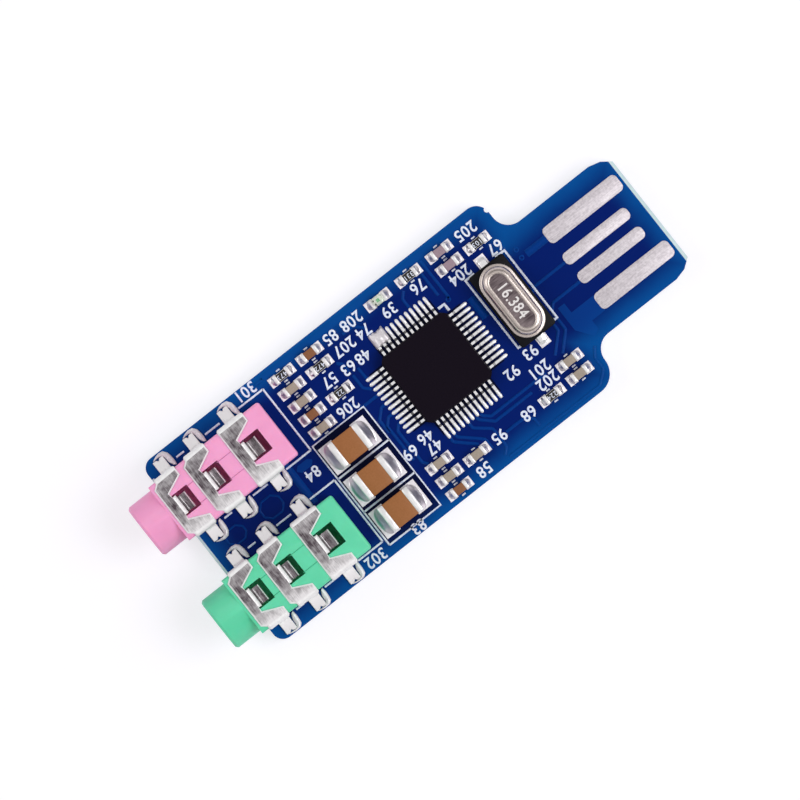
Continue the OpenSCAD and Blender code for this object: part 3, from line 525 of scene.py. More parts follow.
# The attribute read here carries painted light: higher towards the folds and on the feet as painted
# highlight, low on the tongue as painted shade in its window
painted_light = add(tree, "ShaderNodeAttribute", attribute_name="painted_light")
along = add(tree, "ShaderNodeMapping", {"Vector": place, "Scale": (12 / MM, 1.2 / MM, 2 / MM)})
rolling = add(tree, "ShaderNodeTexNoise", {"Vector": along, "Scale": 1, "Detail": 4, "Roughness": 0.6})
mottle = add(tree, "ShaderNodeTexNoise", {"Vector": place, "Scale": 1 / (0.6 * MM), "Detail": 3})
mottle_and_streaks = add(tree, "ShaderNodeMath", {0: rolling, 1: mottle})
tone = add(tree, "ShaderNodeMath", {
    0: mottle_and_streaks, 1: 0.8, 2: painted_light.outputs["Fac"]}, operation="MULTIPLY_ADD")
spread = add(tree, "ShaderNodeMapRange", {"Value": tone, "From Min": 0.66, "From Max": 1.5})
# The dark shade stands for a painted reflection on the flat band, the pale one for a painted highlight
mix = add(tree, "ShaderNodeMix", {
    "Factor": spread, 6: linear("#554a51"), 7: linear("#f6f2f4")}, data_type="RGBA")
tree.links.new(mix.outputs[2], shader.inputs["Base Color"])
bump = add(tree, "ShaderNodeBump", {"Height": rolling, "Strength": 0.2, "Distance": 0.01 * MM})
tree.links.new(bump.outputs[0], shader.inputs["Normal"])


def mottled(name, dark, pale, grain_mm, detail, dents=None, noise_roughness=0.5, **sockets):
    """A finish that drifts between two shades from grain to grain. Its grains may stand out as fine
    dents, given as their strength and their depth in millimetres."""
    material, tree, shader, place = new_material(name, **sockets)
    grain = add(tree, "ShaderNodeTexNoise", {
        "Vector": place, "Scale": 1 / (grain_mm * MM), "Detail": detail, "Roughness": noise_roughness})
    mix = add(tree, "ShaderNodeMix", {
        "Factor": grain, 6: linear(dark), 7: linear(pale)}, data_type="RGBA")
    tree.links.new(mix.outputs[2], shader.inputs["Base Color"])
    if dents:
        strength, depth = dents
        bump = add(tree, "ShaderNodeBump", {
            "Height": grain, "Strength": strength, "Distance": depth * MM})
        tree.links.new(bump.outputs[0], shader.inputs["Normal"])
    return material


# The cut edges, and the folds and ridges given the same finish, are painted nearly white: a painted
# highlight
painted_highlight_rim = mottled("tinned_rim_painted_highlight", "#e8e4e6", "#ffffff", 0.4, 2, Metallic=0.15, Roughness=0.4)
RIM_W, FOOT_RIM_W = 0.13, 0.05
# The band is parted into strips between its folds, so that the painted light can change along it
BAND_STRIPS, BAND_HALF = 9, 2.8
TOP_OF_SPRINGS = box_mm("mic_jack_tip_spring")[1].z
# Where each pole's foot starts, measured from its spring's front, and half the foot's length
FOOT_X, FOOT_HALF = {"sleeve": 1.25, "ring": 1.3, "tip": 0.95}, 0.52
# The notch in a foot's end: its depth, half its width with room, and how far its lips are bent open
NOTCH_D, NOTCH_HALF, NOTCH_OPEN = 0.2, 0.12, 0.1
# The tongue lies this far under the band. It is drawn in across and along, about its root at
# TONGUE_ROOT from the spring's front, and set a little to one side.
TONGUE_UNDER, TONGUE_ROOT, TONGUE_TAPER, TONGUE_SHORT, TONGUE_OFF = 0.28, 0.85, 0.86, 0.86, 0.06
# How much painted light each stretch gets: painted shade on the tongue down in its window, and painted
# highlights on the feet and on the band past its folds
TONGUE_PAINTED_LIGHT, FOOT_PAINTED_LIGHT, FOLD_PAINTED_LIGHT = 0.12, 0.85, 0.8


def outer_rims(bm, middle, low, high):
    """The cut edges of a bent sheet between two heights, on the side that faces away from middle."""
    bm.normal_update()
    rims = []
    for edge in bm.edges:
        if len(edge.link_faces) != 2 or edge.calc_face_angle() < math.radians(50):
            continue
        if not low <= max(v.co.z for v in edge.verts) < high:
            continue
        for face in edge.link_faces:
            away = face.calc_center_median() - middle
            away.x = 0
            outer = abs(face.normal.x) < 0.1 and face.normal.dot(away.normalized()) > 0.6
            if face.normal.z > 0.9 or outer:
                rims.append(edge)
                break
    return rims


def break_the_rims(bm, middle):
    """Breaks the sheet's outer edges, and gives them, its folds and its ridges the painted highlight.
    """
    for low, high, width in ((middle.z, 99, RIM_W), (0, middle.z, FOOT_RIM_W)):
        bmesh.ops.bevel(bm, geom=outer_rims(bm, middle, low, high), offset=width, offset_type="OFFSET",
                        segments=1, profile=0.5, affect="EDGES", clamp_overlap=False, material=1)
    bm.normal_update()
    for face in bm.faces:
        normal, at = face.normal, face.calc_center_median()
        fold = abs(normal.y) > 0.1 and normal.z > 0.15
        in_tongue = middle.z < at.z < TOP_OF_SPRINGS - 0.35 and abs(normal.y) < 0.1
        ridge = in_tongue and (normal.z > 0.93 or normal.x > 0.7 and normal.z > 0.5)
        ridge |= at.z > TOP_OF_SPRINGS - 0.3 and normal.x > 0.15 and normal.z > 0.4
        if fold or ridge:
            face.material_index = 1


for jack in JACKS:
    for pole in POLES:
        node = f"{jack}_jack_{pole}_spring"
        bm = copy_of(node)
        low, high = box_mm(node)
        middle = Vector((0, (low.y + high.y) / 2, (BOARD_TOP + high.z) / 2))
        root = low.x + TONGUE_ROOT
        for vert in bm.verts:
            if low.y + NOTCH_D + 0.01 > vert.co.y or vert.co.y > high.y - NOTCH_D - 0.01:
                off = vert.co.x - low.x - (FOOT_X[pole] + FOOT_HALF)
                if 0.02 < abs(off) < NOTCH_HALF:
                    vert.co.x += math.copysign(NOTCH_OPEN, off)
            if middle.z < vert.co.z < high.z - TONGUE_UNDER and abs(vert.co.y - middle.y) < 1:
                vert.co.y = middle.y + (vert.co.y - middle.y) * TONGUE_TAPER - TONGUE_OFF
                vert.co.x = root + (vert.co.x - root) * TONGUE_SHORT
        break_the_rims(bm, middle)
        for i in range(BAND_STRIPS + 1):
            y = middle.y + BAND_HALF * (2 * i / BAND_STRIPS - 1)
            cut_across(bm, (0, y, 0), (0, 1, 0))
        layer = bm.verts.layers.float.new("painted_light")
        for vert in bm.verts:
            out = (vert.co.y - middle.y) / BAND_HALF
            # More painted light towards the folds, and most towards the one at low Y
            vert[layer] = min(1, max(0, 0.55 * out * out - 0.25 * out)) if abs(out) < 1 else FOLD_PAINTED_LIGHT
            if vert.co.z < high.z - 0.2:
                vert[layer] = FOOT_PAINTED_LIGHT if vert.co.z < middle.z else TONGUE_PAINTED_LIGHT
        finished(f"{jack}_{pole}_contact", bm, [spring_metal, painted_highlight_rim], [node],
                 smooth=10)

# Codec chip: a square body of black epoxy moulding compound, matt and finely grained, with both
# halves tapering away from the plane where the leads come out. Its top is bare.
moulding = mottled("epoxy_moulding", "#080409", "#1a1220", 0.12, 6, (0.4, 0.02), 0.7,
                   Roughness=0.62, IOR=1.5, Specular_IOR_Level=0.05)
finished("chip_body", copy_of("codec_chip_body"), [moulding], ["codec_chip_body"],
         bevel=0.06, smooth=15)

# Chip leads: 48 strips of tinned copper alloy, twelve a side, bent down to the pads like a gull's
# wing. From above the shoulder and the foot are bright, and the slope between them is painted dark.
tin, tree, shader, place = new_material("tinned_lead_with_painted_shade", Metallic=1, Roughness=0.2)
fine = add(tree, "ShaderNodeTexNoise", {"Vector": place, "Scale": 1 / (0.2 * MM), "Detail": 3})
mix = add(tree, "ShaderNodeMix", {
    "Factor": fine, 6: linear("#f2f0f2"), 7: linear("#fffeff")}, data_type="RGBA")
# Faces that stand steep, the slope and the cut sides, are painted nearly black: painted shade and a
# painted reflection of the dark board below
facing = add(tree, "ShaderNodeNewGeometry").outputs["Normal"]
upward = add(tree, "ShaderNodeSeparateXYZ", {0: facing}).outputs["Z"]
flat = add(tree, "ShaderNodeMapRange", {"Value": upward, "From Min": 0.5, "From Max": 0.8})
tone = add(tree, "ShaderNodeMix", {
    "Factor": flat, 6: linear("#231f26"), 7: mix.outputs[2]}, data_type="RGBA")
tree.links.new(tone.outputs[2], shader.inputs["Base Color"])

chip_low, chip_high = box_mm("codec_chip_body")
lead_low, lead_high = box_mm("codec_chip_leads")
CHIP_AT = Vector(((chip_low.x + chip_high.x) / 2, (chip_low.y + chip_high.y) / 2, lead_low.z))
CHIP_HALF = (chip_high.x - chip_low.x) / 2
LEAD_PITCH, LEADS_A_SIDE, LEAD_W, LEAD_T = 0.5, 12, 0.22, 0.15
LEAD_REACH = lead_high.x - chip_high.x
LEAD_TOP = lead_high.z - lead_low.z - LEAD_T / 2
SHOULDER_L, SLOPE_L = 0.32, 0.24

# Sets a copy of a shape at each place along the four sides of a square
four_sides, given = new_tree("along_four_sides", Pitch="Float", Count="Int", Out="Float",
                             Centre="Vector", Finish="Material")
index = add(four_sides, "GeometryNodeInputIndex").outputs[0]
gaps = add(four_sides, "ShaderNodeMath", {0: given["Count"], 1: -1})
start = add(four_sides, "ShaderNodeMath", {0: gaps, 1: given["Pitch"]}, operation="MULTIPLY")
start = add(four_sides, "ShaderNodeMath", {0: start, 1: -0.5}, operation="MULTIPLY")
first = add(four_sides, "ShaderNodeCombineXYZ", {"X": given["Out"], "Y": start})
step = add(four_sides, "ShaderNodeCombineXYZ", {"Y": given["Pitch"]})
row = add(four_sides, "GeometryNodeMeshLine", {
    "Count": given["Count"], "Offset": step, "Start Location": first})
corners = add(four_sides, "GeometryNodePoints", {"Count": 4})
quarter = add(four_sides, "ShaderNodeMath", {0: index, 1: math.pi / 2}, operation="MULTIPLY")
turn = add(four_sides, "ShaderNodeCombineXYZ", {"Z": quarter})
rows = add(four_sides, "GeometryNodeInstanceOnPoints", {
    "Points": corners, "Instance": row, "Rotation": turn})
places = add(four_sides, "GeometryNodeRealizeInstances", {"Geometry": rows})
side = add(four_sides, "ShaderNodeMath", {0: index, 1: given["Count"]}, operation="DIVIDE")
side = add(four_sides, "ShaderNodeMath", {0: side}, operation="FLOOR")
side = add(four_sides, "ShaderNodeMath", {0: side, 1: math.pi / 2}, operation="MULTIPLY")
facing = add(four_sides, "ShaderNodeCombineXYZ", {"Z": side})
copies = add(four_sides, "GeometryNodeInstanceOnPoints", {
    "Points": places, "Instance": given["Geometry"], "Rotation": facing})
moved = add(four_sides, "GeometryNodeTransform", {"Geometry": copies, "Translation": given["Centre"]})
end_tree(four_sides, moved, given["Finish"])


def round_the_chip(mesh, finish):
    """A copy of a mesh at each of the chip's leads."""
    return grown(four_sides, mesh, Pitch=LEAD_PITCH * MM, Count=LEADS_A_SIDE, Out=CHIP_HALF * MM,
                 Centre=CHIP_AT * MM, Finish=finish)


lead_line = [(0, 0, LEAD_TOP), (SHOULDER_L, 0, LEAD_TOP), (SHOULDER_L + SLOPE_L, 0, LEAD_T / 2),
             (LEAD_REACH, 0, LEAD_T / 2)]
lead = grown(strip, lines_mesh([lead_line]), Width=LEAD_W * MM, Height=LEAD_T * MM, Bend=0,
             Finish=tin)
leads = round_the_chip(lead, tin)
leads.shade_smooth()
leads.set_sharp_from_angle(angle=math.radians(50))
laid("chip_leads", leads, ["codec_chip_leads"])

# Crystal: a drawn steel can with a flange, plated with nickel, welded over its base and standing on a
# black moulded base. Its top is painted a darker satin grey-brown than the rest of the can, a painted
# reflection, and its rounded edges show bright. The number on its top is a plain one.
nickel, tree, shader, place = new_material("nickel_plated_can", Metallic=1, Roughness=0.3)
along = add(tree, "ShaderNodeMapping", {"Vector": place, "Scale": (4 / MM, 0.6 / MM, 1 / MM)})
brushed = add(tree, "ShaderNodeTexNoise", {"Vector": along, "Scale": 3, "Detail": 5})
mix = add(tree, "ShaderNodeMix", {
    "Factor": brushed, 6: linear("#b3a59f"), 7: linear("#ddd2cc")}, data_type="RGBA")
tree.links.new(mix.outputs[2], shader.inputs["Base Color"])
bump = add(tree, "ShaderNodeBump", {"Height": brushed, "Strength": 0.25, "Distance": 0.01 * MM})
tree.links.new(bump.outputs[0], shader.inputs["Normal"])

can_low, can_high = box_mm("crystal_can")
CAN_AT = (can_low + can_high) / 2
CAN_HALF_W = (can_high.x - can_low.x) / 2
CAN_STRAIGHT = (can_high.y - can_low.y) / 2 - CAN_HALF_W
FLANGE_T, FLANGE_W, CAN_EDGE_R, PRESSED = 0.25, 0.25, 0.5, 0.05
FLANGE_EDGE_R = 0.06


def racetrack_sweep(bm, profile, steps=16):
    """Carries a profile of distances inwards from the can's outline, with heights, round the can."""
    rings = []
    for inset, z in profile:
        r = CAN_HALF_W - inset
        ring = []
        for end in (1, -1):
            for i in range(steps + 1):
                a = math.pi * (i / steps if end > 0 else 1 + i / steps)
                x, y = CAN_AT.x + r * math.cos(a), CAN_AT.y + end * CAN_STRAIGHT + r * math.sin(a)
                ring.append(bm.verts.new((x, y, z)))
        rings.append(ring)
    for lower, upper in zip(rings, rings[1:]):
        for i in range(len(lower)):
            bm.faces.new((lower[i - 1], lower[i], upper[i], upper[i - 1]))
    bm.faces.new(rings[-1]).material_index = 1
    bm.faces.new(rings[0][::-1])


def rounding(inset, z, r, start, end, steps):
    """Points of a rounded edge whose middle lies at this inset and height."""
    angles = [math.radians(start + (end - start) * i / steps) for i in range(steps + 1)]
    return [(inset - r * math.cos(a), z + r * math.sin(a)) for a in angles]


top, flange_top = can_high.z, can_low.z + FLANGE_T
profile = [(0, can_low.z)]
profile += rounding(FLANGE_EDGE_R, flange_top - FLANGE_EDGE_R, FLANGE_EDGE_R, 0, 90, 3)
# The hollow between the flange and the can's wall
profile += [(FLANGE_W - 0.06, flange_top), (FLANGE_W - 0.02, flange_top + 0.02),
            (FLANGE_W, flange_top + 0.08)]
profile += rounding(FLANGE_W + CAN_EDGE_R, top - CAN_EDGE_R, CAN_EDGE_R, 0, 75, 6)
# The top is pressed in a little inside its rim
rim = FLANGE_W + CAN_EDGE_R
profile += [(rim, top), (rim + 0.05, top - 0.01), (rim + 0.1, top - PRESSED)]
bm = bmesh.new()
racetrack_sweep(bm, profile)
# A darker copy of the nickel for the can's top, with brushing strokes: a painted dark reflection
can_top_painted_reflection, tree, shader, place = new_material("brushed_nickel_top_painted_reflection", Metallic=1, Roughness=0.4)
along = add(tree, "ShaderNodeMapping", {"Vector": place, "Scale": (0.7 / MM, 5 / MM, 1 / MM)})
strokes = add(tree, "ShaderNodeTexNoise", {"Vector": along, "Scale": 1.5, "Detail": 5})
cloud = add(tree, "ShaderNodeTexNoise", {"Vector": place, "Scale": 1 / (1.6 * MM), "Detail": 2})
both = add(tree, "ShaderNodeMath", {0: strokes, 1: cloud})
tone = add(tree, "ShaderNodeMapRange", {"Value": both, "From Min": 0.7, "From Max": 1.3})
mix = add(tree, "ShaderNodeMix", {
    "Factor": tone, 6: linear("#4a4044"), 7: linear("#8a7d7f")}, data_type="RGBA")
tree.links.new(mix.outputs[2], shader.inputs["Base Color"])
finished("crystal_can_nickel", bm, [nickel, can_top_painted_reflection], ["crystal_can"])

# Figures etched by a laser: pale and matt
etched = mottled("etched_figures", "#cfc8c8", "#fbf8f6", 0.1, 3, Roughness=0.6, Metallic=0.2)
bm = bmesh.new()
bm.from_mesh(lettering("16.384", CAN_AT.x, CAN_AT.y, top - PRESSED, 0.95, -90, 0.03, 0.85, 0.02))
finished("crystal_number", bm, [etched])

# Black moulded plastic, half matt
black_plastic = mottled("black_moulded_base", "#060609", "#111116", 0.15, 4, Roughness=0.4,
                        Specular_IOR_Level=0.1)
finished("crystal_base_moulded", copy_of("crystal_base"), [black_plastic],
         ["crystal_base"], bevel=0.06)
finished("crystal_leads_tinned", copy_of("crystal_leads"), [tin], ["crystal_leads"],
         bevel=0.04)


# Capacitors: a fired block of many ceramic layers with its two ends dipped in silver and tinned.
# The three large ones are brown, and the small ones grey, pinkish or brown.
def ceramic(name, colour, shade):
    """Fired ceramic: matt, with fine grains and pits."""
    return mottled(name, shade, colour, 0.15, 5, (0.3, 0.01), Roughness=0.5, IOR=1.6,
                   Specular_IOR_Level=0.25)


# Dipped tin: bright, with soft waves
end_tin = mottled("dipped_tin_end", "#d9d6d8", "#f8f6f6", 0.5, 2, (0.3, 0.03), Metallic=0.6,
                  Roughness=0.38)


def rounded_block(bm, low, high, r, material=0, cells=4):
    """Adds a block whose edges are rounded by r."""
    corners = bmesh.ops.create_cube(bm, size=2)["verts"]
    edges = list({e for v in corners for e in v.link_edges})
    bmesh.ops.subdivide_edges(bm, edges=edges, cuts=cells, use_grid_fill=True)
    low, high = Vector(low), Vector(high)
    half, centre = (high - low) / 2, (high + low) / 2
    # What an earlier call has made is tagged
    for v in [v for v in bm.verts if not v.tag]:
        p = Vector(v.co)
        # The cube's cells are drawn towards its edges, so that the rounding has points to bend
        for k in range(3):
            core = 1 - r / half[k]
            if abs(p[k]) > 0.55:
                p[k] = math.copysign(core + (1 - core) * max(0, (abs(p[k]) - 0.6) / 0.4), p[k])
            else:
                p[k] *= core / 0.6
        q = Vector([p[k] * half[k] for k in range(3)])
        inner = Vector([max(-(half[k] - r), min(half[k] - r, q[k])) for k in range(3)])
        out = q - inner
        if out.length > 1e-9:
            out = out.normalized() * r
        v.co = centre + inner + out
        v.tag = True
    for face in bm.faces:
        if not face.tag:
            face.material_index = material
            face.tag = True


def end_capped(node, name, body, end_l, r):
    """A ceramic block between two dipped metal ends, which replaces a CAD node."""
    low, high = box_mm(node)
    plating = 0.03
    bm = bmesh.new()
    rounded_block(bm, (low.x + end_l * 0.8, low.y + plating, low.z + plating),
                  (high.x - end_l * 0.8, high.y - plating, high.z - plating), 0.04)
    rounded_block(bm, low, (low.x + end_l, high.y, high.z), r, 1)
    rounded_block(bm, (high.x - end_l, low.y, low.z), high, r, 1)
    finished(name, bm, [body, end_tin], [node], smooth=60)


brown = ceramic("brown_ceramic", "#a76a3c", "#905829")
grey = ceramic("grey_ceramic", "#b0a294", "#93867a")
pinkish = ceramic("pinkish_ceramic", "#a9929c", "#8c7682")
dark_brown = ceramic("dark_brown_ceramic", "#93603c", "#7a4a2a")
SUPPLY_END_L, SMALL_END_L = 0.62, 0.35
for i in (1, 2, 3):
    end_capped(f"supply_capacitor_{i}", f"supply_capacitor_block_{i}", brown, SUPPLY_END_L, 0.12)
SMALL_BODIES = {3: dark_brown, 5: dark_brown, 10: dark_brown, 6: pinkish, 7: pinkish}
for i in range(1, 14):
    end_capped(f"small_capacitor_{i}", f"small_capacitor_block_{i}", SMALL_BODIES.get(i, grey),
               SMALL_END_L, 0.07)

# Resistors: a thin plate of white alumina with tinned ends. The film on its top is covered by black
# glaze, nearly glossy and a little cloudy, and each carries a small plain number.
glaze = mottled("black_glaze", "#0d0b0c", "#2a2422", 0.3, 3, Roughness=0.25, IOR=1.5)
alumina = ceramic("white_alumina", "#ece9e2", "#d8d4cb")
RESISTOR_NUMBERS = ["473", "472", "22", "331", "103", "224"]
RESISTOR_NUMBER_H = 0.42
for i, number in enumerate(RESISTOR_NUMBERS, 1):
    node = f"resistor_{i}"
    low, high = box_mm(node)
    bm = bmesh.new()
    rounded_block(bm, (low.x + 0.05, low.y + 0.03, low.z + 0.03),
                  (high.x - 0.05, high.y - 0.03, high.z - 0.08), 0.03, 3)
    rounded_block(bm, (low.x + 0.3, low.y + 0.06, high.z - 0.12),
                  (high.x - 0.3, high.y - 0.06, high.z - 0.02), 0.03)
    for x in (low.x, high.x - SMALL_END_L):
        rounded_block(bm, (x, low.y, low.z), (x + SMALL_END_L, high.y, high.z), 0.06, 1)
    x, y = (low.x + high.x) / 2, (low.y + high.y) / 2
    count = len(bm.faces)
    bm.from_mesh(lettering(number, x, y, high.z - 0.02, RESISTOR_NUMBER_H, 180, 0.02))
    bm.faces.ensure_lookup_table()
    for face in bm.faces[count:]:
        face.material_index = 2
    finished(f"resistor_plate_{i}", bm, [glaze, end_tin, ink, alumina], [node],
             smooth=60)

# Status lamp: a white base with two plated ends under a lens of clear resin, which is glossy, see-
# through and slightly milky. A small green chip and the dark ends of its wire show in it.
lens = mottled("clear_resin", "#eaf5e8", "#fbfffa", 0.2, 2, Roughness=0.12, IOR=1.5,
               Transmission_Weight=0.85)
white_base = ceramic("white_lamp_base", "#f4f3ee", "#e2e0d8")
green_chip = ceramic("green_lamp_chip", "#58b878", "#3a8f58")
low, high = box_mm("status_lamp")
x, y = (low.x + high.x) / 2, (low.y + high.y) / 2
bm = bmesh.new()
rounded_block(bm, (low.x + 0.02, low.y, low.z), (high.x - 0.02, high.y, low.z + 0.3), 0.03)
for edge in (low.x, high.x - 0.32):
    rounded_block(bm, (edge, low.y + 0.02, low.z), (edge + 0.32, high.y - 0.02, low.z + 0.33), 0.05, 1)
rounded_block(bm, (x - 0.17, y - 0.15, low.z + 0.3), (x + 0.13, y + 0.13, low.z + 0.4), 0.02, 2)
rounded_block(bm, (x - 0.45, y - 0.25, low.z + 0.29), (x - 0.28, y - 0.1, low.z + 0.33), 0.015, 4)
rounded_block(bm, (x - 0.45, y + 0.1, low.z + 0.29), (x - 0.3, y + 0.22, low.z + 0.33), 0.015, 4)
rounded_block(bm, (x - 0.46, low.y + 0.02, low.z + 0.295), (x + 0.46, high.y - 0.02, high.z), 0.09, 3)
finished("status_lamp_resin", bm, [white_base, end_tin, green_chip, lens, black_plastic],
         ["status_lamp"], smooth=60)


# Solder: tin alloy, melted at each joint. It wets the pad and climbs the metal end in a hollow
# curve, smooth and bright, and it is heaped beside the jacks' broad feet.
def tin_alloy(name, dark, pale, ripple_mm, **sockets):
    """Solder's finish: smooth tin alloy with soft ripples of this width."""
    return mottled(name, dark, pale, ripple_mm, 1, (0.2, 0.05), **sockets)


solder = tin_alloy("bright_solder", "#ebe9eb", "#ffffff", 0.6, Metallic=0.6, Roughness=0.34)
wetted_pad = tin_alloy("tinned_pad", "#ded6de", "#faf7fa", 0.3, Metallic=0.5, Roughness=0.5)
hollow_solder = tin_alloy("hollow_solder", "#c3bcc3", "#f0ecef", 0.9, Metallic=1, Roughness=0.28)
heaped_solder = tin_alloy("heaped_solder", "#ccc5cc", "#fffdff", 0.4, Metallic=0.2, Roughness=0.4)
dull_solder = tin_alloy("dull_solder", "#bdb5bb", "#f1edf0", 0.35, Metallic=0.5, Roughness=0.45)


def poured(bm, shape, floor, place, cells=(8, 8), material=0):
    """Adds a closed solid between a flat floor and the points that shape gives over a grid."""
    nu, nv = cells
    grid = {}
    for i in range(nu + 1):
        for j in range(nv + 1):
            x, y, z = shape(i / nu, j / nv)
            grid[1, i, j] = bm.verts.new(place @ Vector((x, y, floor + z)))
            grid[0, i, j] = bm.verts.new(place @ Vector((x, y, floor)))
    faces = []
    for i in range(nu):
        for j in range(nv):
            faces.append([grid[1, i, j], grid[1, i + 1, j], grid[1, i + 1, j + 1], grid[1, i, j + 1]])
            faces.append([grid[0, i, j], grid[0, i, j + 1], grid[0, i + 1, j + 1], grid[0, i + 1, j]])
    edge = [(i, 0) for i in range(nu)] + [(nu, j) for j in range(nv)]
    edge += [(i, nv) for i in range(nu, 0, -1)] + [(0, j) for j in range(nv, 0, -1)]
    for (i, j), (k, m) in zip(edge, edge[1:] + edge[:1]):
        faces.append([grid[0, i, j], grid[0, k, m], grid[1, k, m], grid[1, i, j]])
    for verts in faces:
        bm.faces.new(verts).material_index = material


PAD_T = 0.05
# How thick solder is where it runs out
THIN = 0.012


def pad(bm, place, x_range, half_w):
    """A tinned pad, whose surface swells a little in its middle."""
    def swelling(u, v):
        x = x_range[0] + (x_range[1] - x_range[0]) * u
        return x, half_w * (2 * v - 1), PAD_T - 0.02 + 0.04 * math.sqrt(math.sin(math.pi * v))

    poured(bm, swelling, 0, place, (2, 6), 1)


def fillet(bm, place, width, run, rise, reach_under=0.02):
    """Solder that climbs a wall in a hollow curve and runs out on the pad with a rounded front."""
    def hollow(u, v):
        across = 2 * v - 1
        front = math.sqrt(1 - 0.96 * across * across)
        x = -reach_under + (run * front + reach_under) * u
        z = THIN + rise * (1 - math.sin(u * math.pi / 2)) * (0.35 + 0.65 * front)
        return x, width / 2 * across, z

    poured(bm, hollow, PAD_T, place, (8, 12))


def turned(x, y, degrees):
    """A place on the board's top, turned about Z."""
    return Matrix.Translation((x, y, BOARD_TOP)) @ Matrix.Rotation(math.radians(degrees), 4, "Z")


def joints_of(nodes, under, run, brim, rise_share):
    """Pads and solder at both ends of parts. A pad reaches under the end, and past it by run."""
    bm = bmesh.new()
    for node in nodes:
        low, high = box_mm(node)
        y, width = (low.y + high.y) / 2, high.y - low.y
        for degrees, x in ((0, high.x), (180, low.x)):
            place = turned(x, y, degrees)
            pad(bm, place, (-under, run), width / 2 + brim)
            fillet(bm, place, width, run - 0.1, (high.z - low.z) * rise_share)
    return bm


supply = [f"supply_capacitor_{i}" for i in (1, 2, 3)]
finished("supply_capacitor_joints", joints_of(supply, SUPPLY_END_L, 0.78, 0.1, 0.5),
         [hollow_solder, wetted_pad], ["supply_capacitor_solder"], smooth=50)
finished("small_part_joints", joints_of(SMALL_PARTS + ["status_lamp"], SMALL_END_L, 0.45, 0.05, 0.6),
         [hollow_solder, wetted_pad], ["small_part_solder"], smooth=50)

# Solder on the chip's pads: each foot lies in a thin bright heap that runs out past its toe, and one
# dull bridge joins the last three pads of the row towards the microphone side
CHIP_PAD_RUN, CHIP_PAD_W, UNDER_FOOT = 0.85, 0.33, 0.42


def toe_heap(u, v):
    """The surface of the solder along one foot, outwards from the chip's side."""
    across = 2 * v - 1
    # Slightly wider towards its outer end, which is round
    half = CHIP_PAD_W / 2 * (0.8 + 0.2 * u) * math.sqrt(1 - max(0, (u - 0.85) / 0.15) ** 2 * 0.8)
    x = LEAD_REACH - UNDER_FOOT + (UNDER_FOOT + CHIP_PAD_RUN) * u
    rise = 0.1 * min(1, 2.5 * u) * math.sqrt(max(0, 1 - u ** 6))
    rise *= math.sqrt(max(0, 1 - across ** 4))
    return x, half * across, 0.05 + rise


bm = bmesh.new()
poured(bm, toe_heap, -PAD_T, Matrix.Identity(4), (10, 6))
joint = bpy.data.meshes.new("joint")
bmesh.ops.scale(bm, vec=(MM,) * 3, verts=bm.verts)
bm.to_mesh(joint)
bm.free()
joints = round_the_chip(joint, solder)
bm = bmesh.new()
bm.from_mesh(joints)
bmesh.ops.scale(bm, vec=(1 / MM,) * 3, verts=bm.verts)
# The tree numbers its materials anew, and here the first is the bright solder
for face in bm.faces:
    face.material_index = 0


def bridge(u, v):
    """The bridge's surface: a ragged front, three low lumps, and sides that fall off steeply."""
    across = 2 * v - 1
    ragged = 0.06 * math.sin(9 * v + 1) + 0.04 * math.sin(23 * v)
    x = -0.25 + (1.35 + ragged) * u
    lumps = 0.07 * math.sin(3 * math.pi * v) ** 2 * math.cos(2 * math.pi * u) ** 2
    sides = math.sqrt(max(0, 1 - abs(2 * u - 1) ** 5)) * math.sqrt(max(0, 1 - across ** 6))
    return x, 0.74 * across, 0.02 + (0.27 + lumps) * sides


# The bridge's middle lies this many spacings of the leads from the chip's middle
BRIDGED = 4.5
at_bridge = turned(CHIP_AT.x - BRIDGED * LEAD_PITCH, CHIP_AT.y + CHIP_HALF + LEAD_REACH, 90)
poured(bm, bridge, 0, at_bridge, (12, 18), 1)
finished("chip_joints", bm, [solder, dull_solder], ["chip_solder"], smooth=50)

bm = bmesh.new()
low, high = box_mm("crystal_leads")
for degrees, y in ((90, high.y), (-90, low.y)):
    place = turned((low.x + high.x) / 2, y, degrees)
    pad(bm, place, (-0.55, 0.42), 0.5)
    fillet(bm, place, 0.8, 0.34, 0.14)
finished("crystal_joints", bm, [solder, wetted_pad], ["crystal_solder"], smooth=50)

# Solder at the jacks' feet: thick, since each foot takes the pull of a plug. It wets the pad under
# the foot and stands beside it in a round crescent, with a hollow between the two.
FOOT_L, FOOT_FROM, FOOT_TO = 1.0, 0.2, 1.35
CRESCENT_H = 0.24
# The solder ends this far inside the board's edge
EDGE_ROOM = 0.08
# The crescent's middle line, from before the foot's end round its corner to the jack's side, each
# point with its width. X starts at the foot's side, and Y at the jack's.
CRESCENT = [(-0.85, 1.46, 0.08), (-0.55, 1.56, 0.18), (-0.2, 1.61, 0.3), (0.16, 1.52, 0.42),
            (0.34, 1.2, 0.52), (0.38, 0.85, 0.52), (0.42, 0.5, 0.46), (0.46, 0.16, 0.3)]


def crescent(room):
    """The surface of the crescent, drawn in before the foot's end to keep on the board."""
    squeeze = min(1, (room - FOOT_TO) / 0.36)

    def surface(u, v):
        at = v * (len(CRESCENT) - 1)
        i = min(int(at), len(CRESCENT) - 2)
        (x0, y0, w0), (x1, y1, w1) = CRESCENT[i], CRESCENT[i + 1]
        f = at - i
        x, y, w = x0 + (x1 - x0) * f, y0 + (y1 - y0) * f, w0 + (w1 - w0) * f
        outward = (Vector((x, y)) - Vector((-0.5, 0.6))).normalized()
        x, y = x + outward.x * w * (u - 0.5), y + outward.y * w * (u - 0.5)
        if y > FOOT_TO:
            y = FOOT_TO + (y - FOOT_TO) * squeeze
        return x, y, 0.02 + CRESCENT_H * math.sin(math.pi * (0.06 + 0.88 * u)) ** 0.45

    return surface


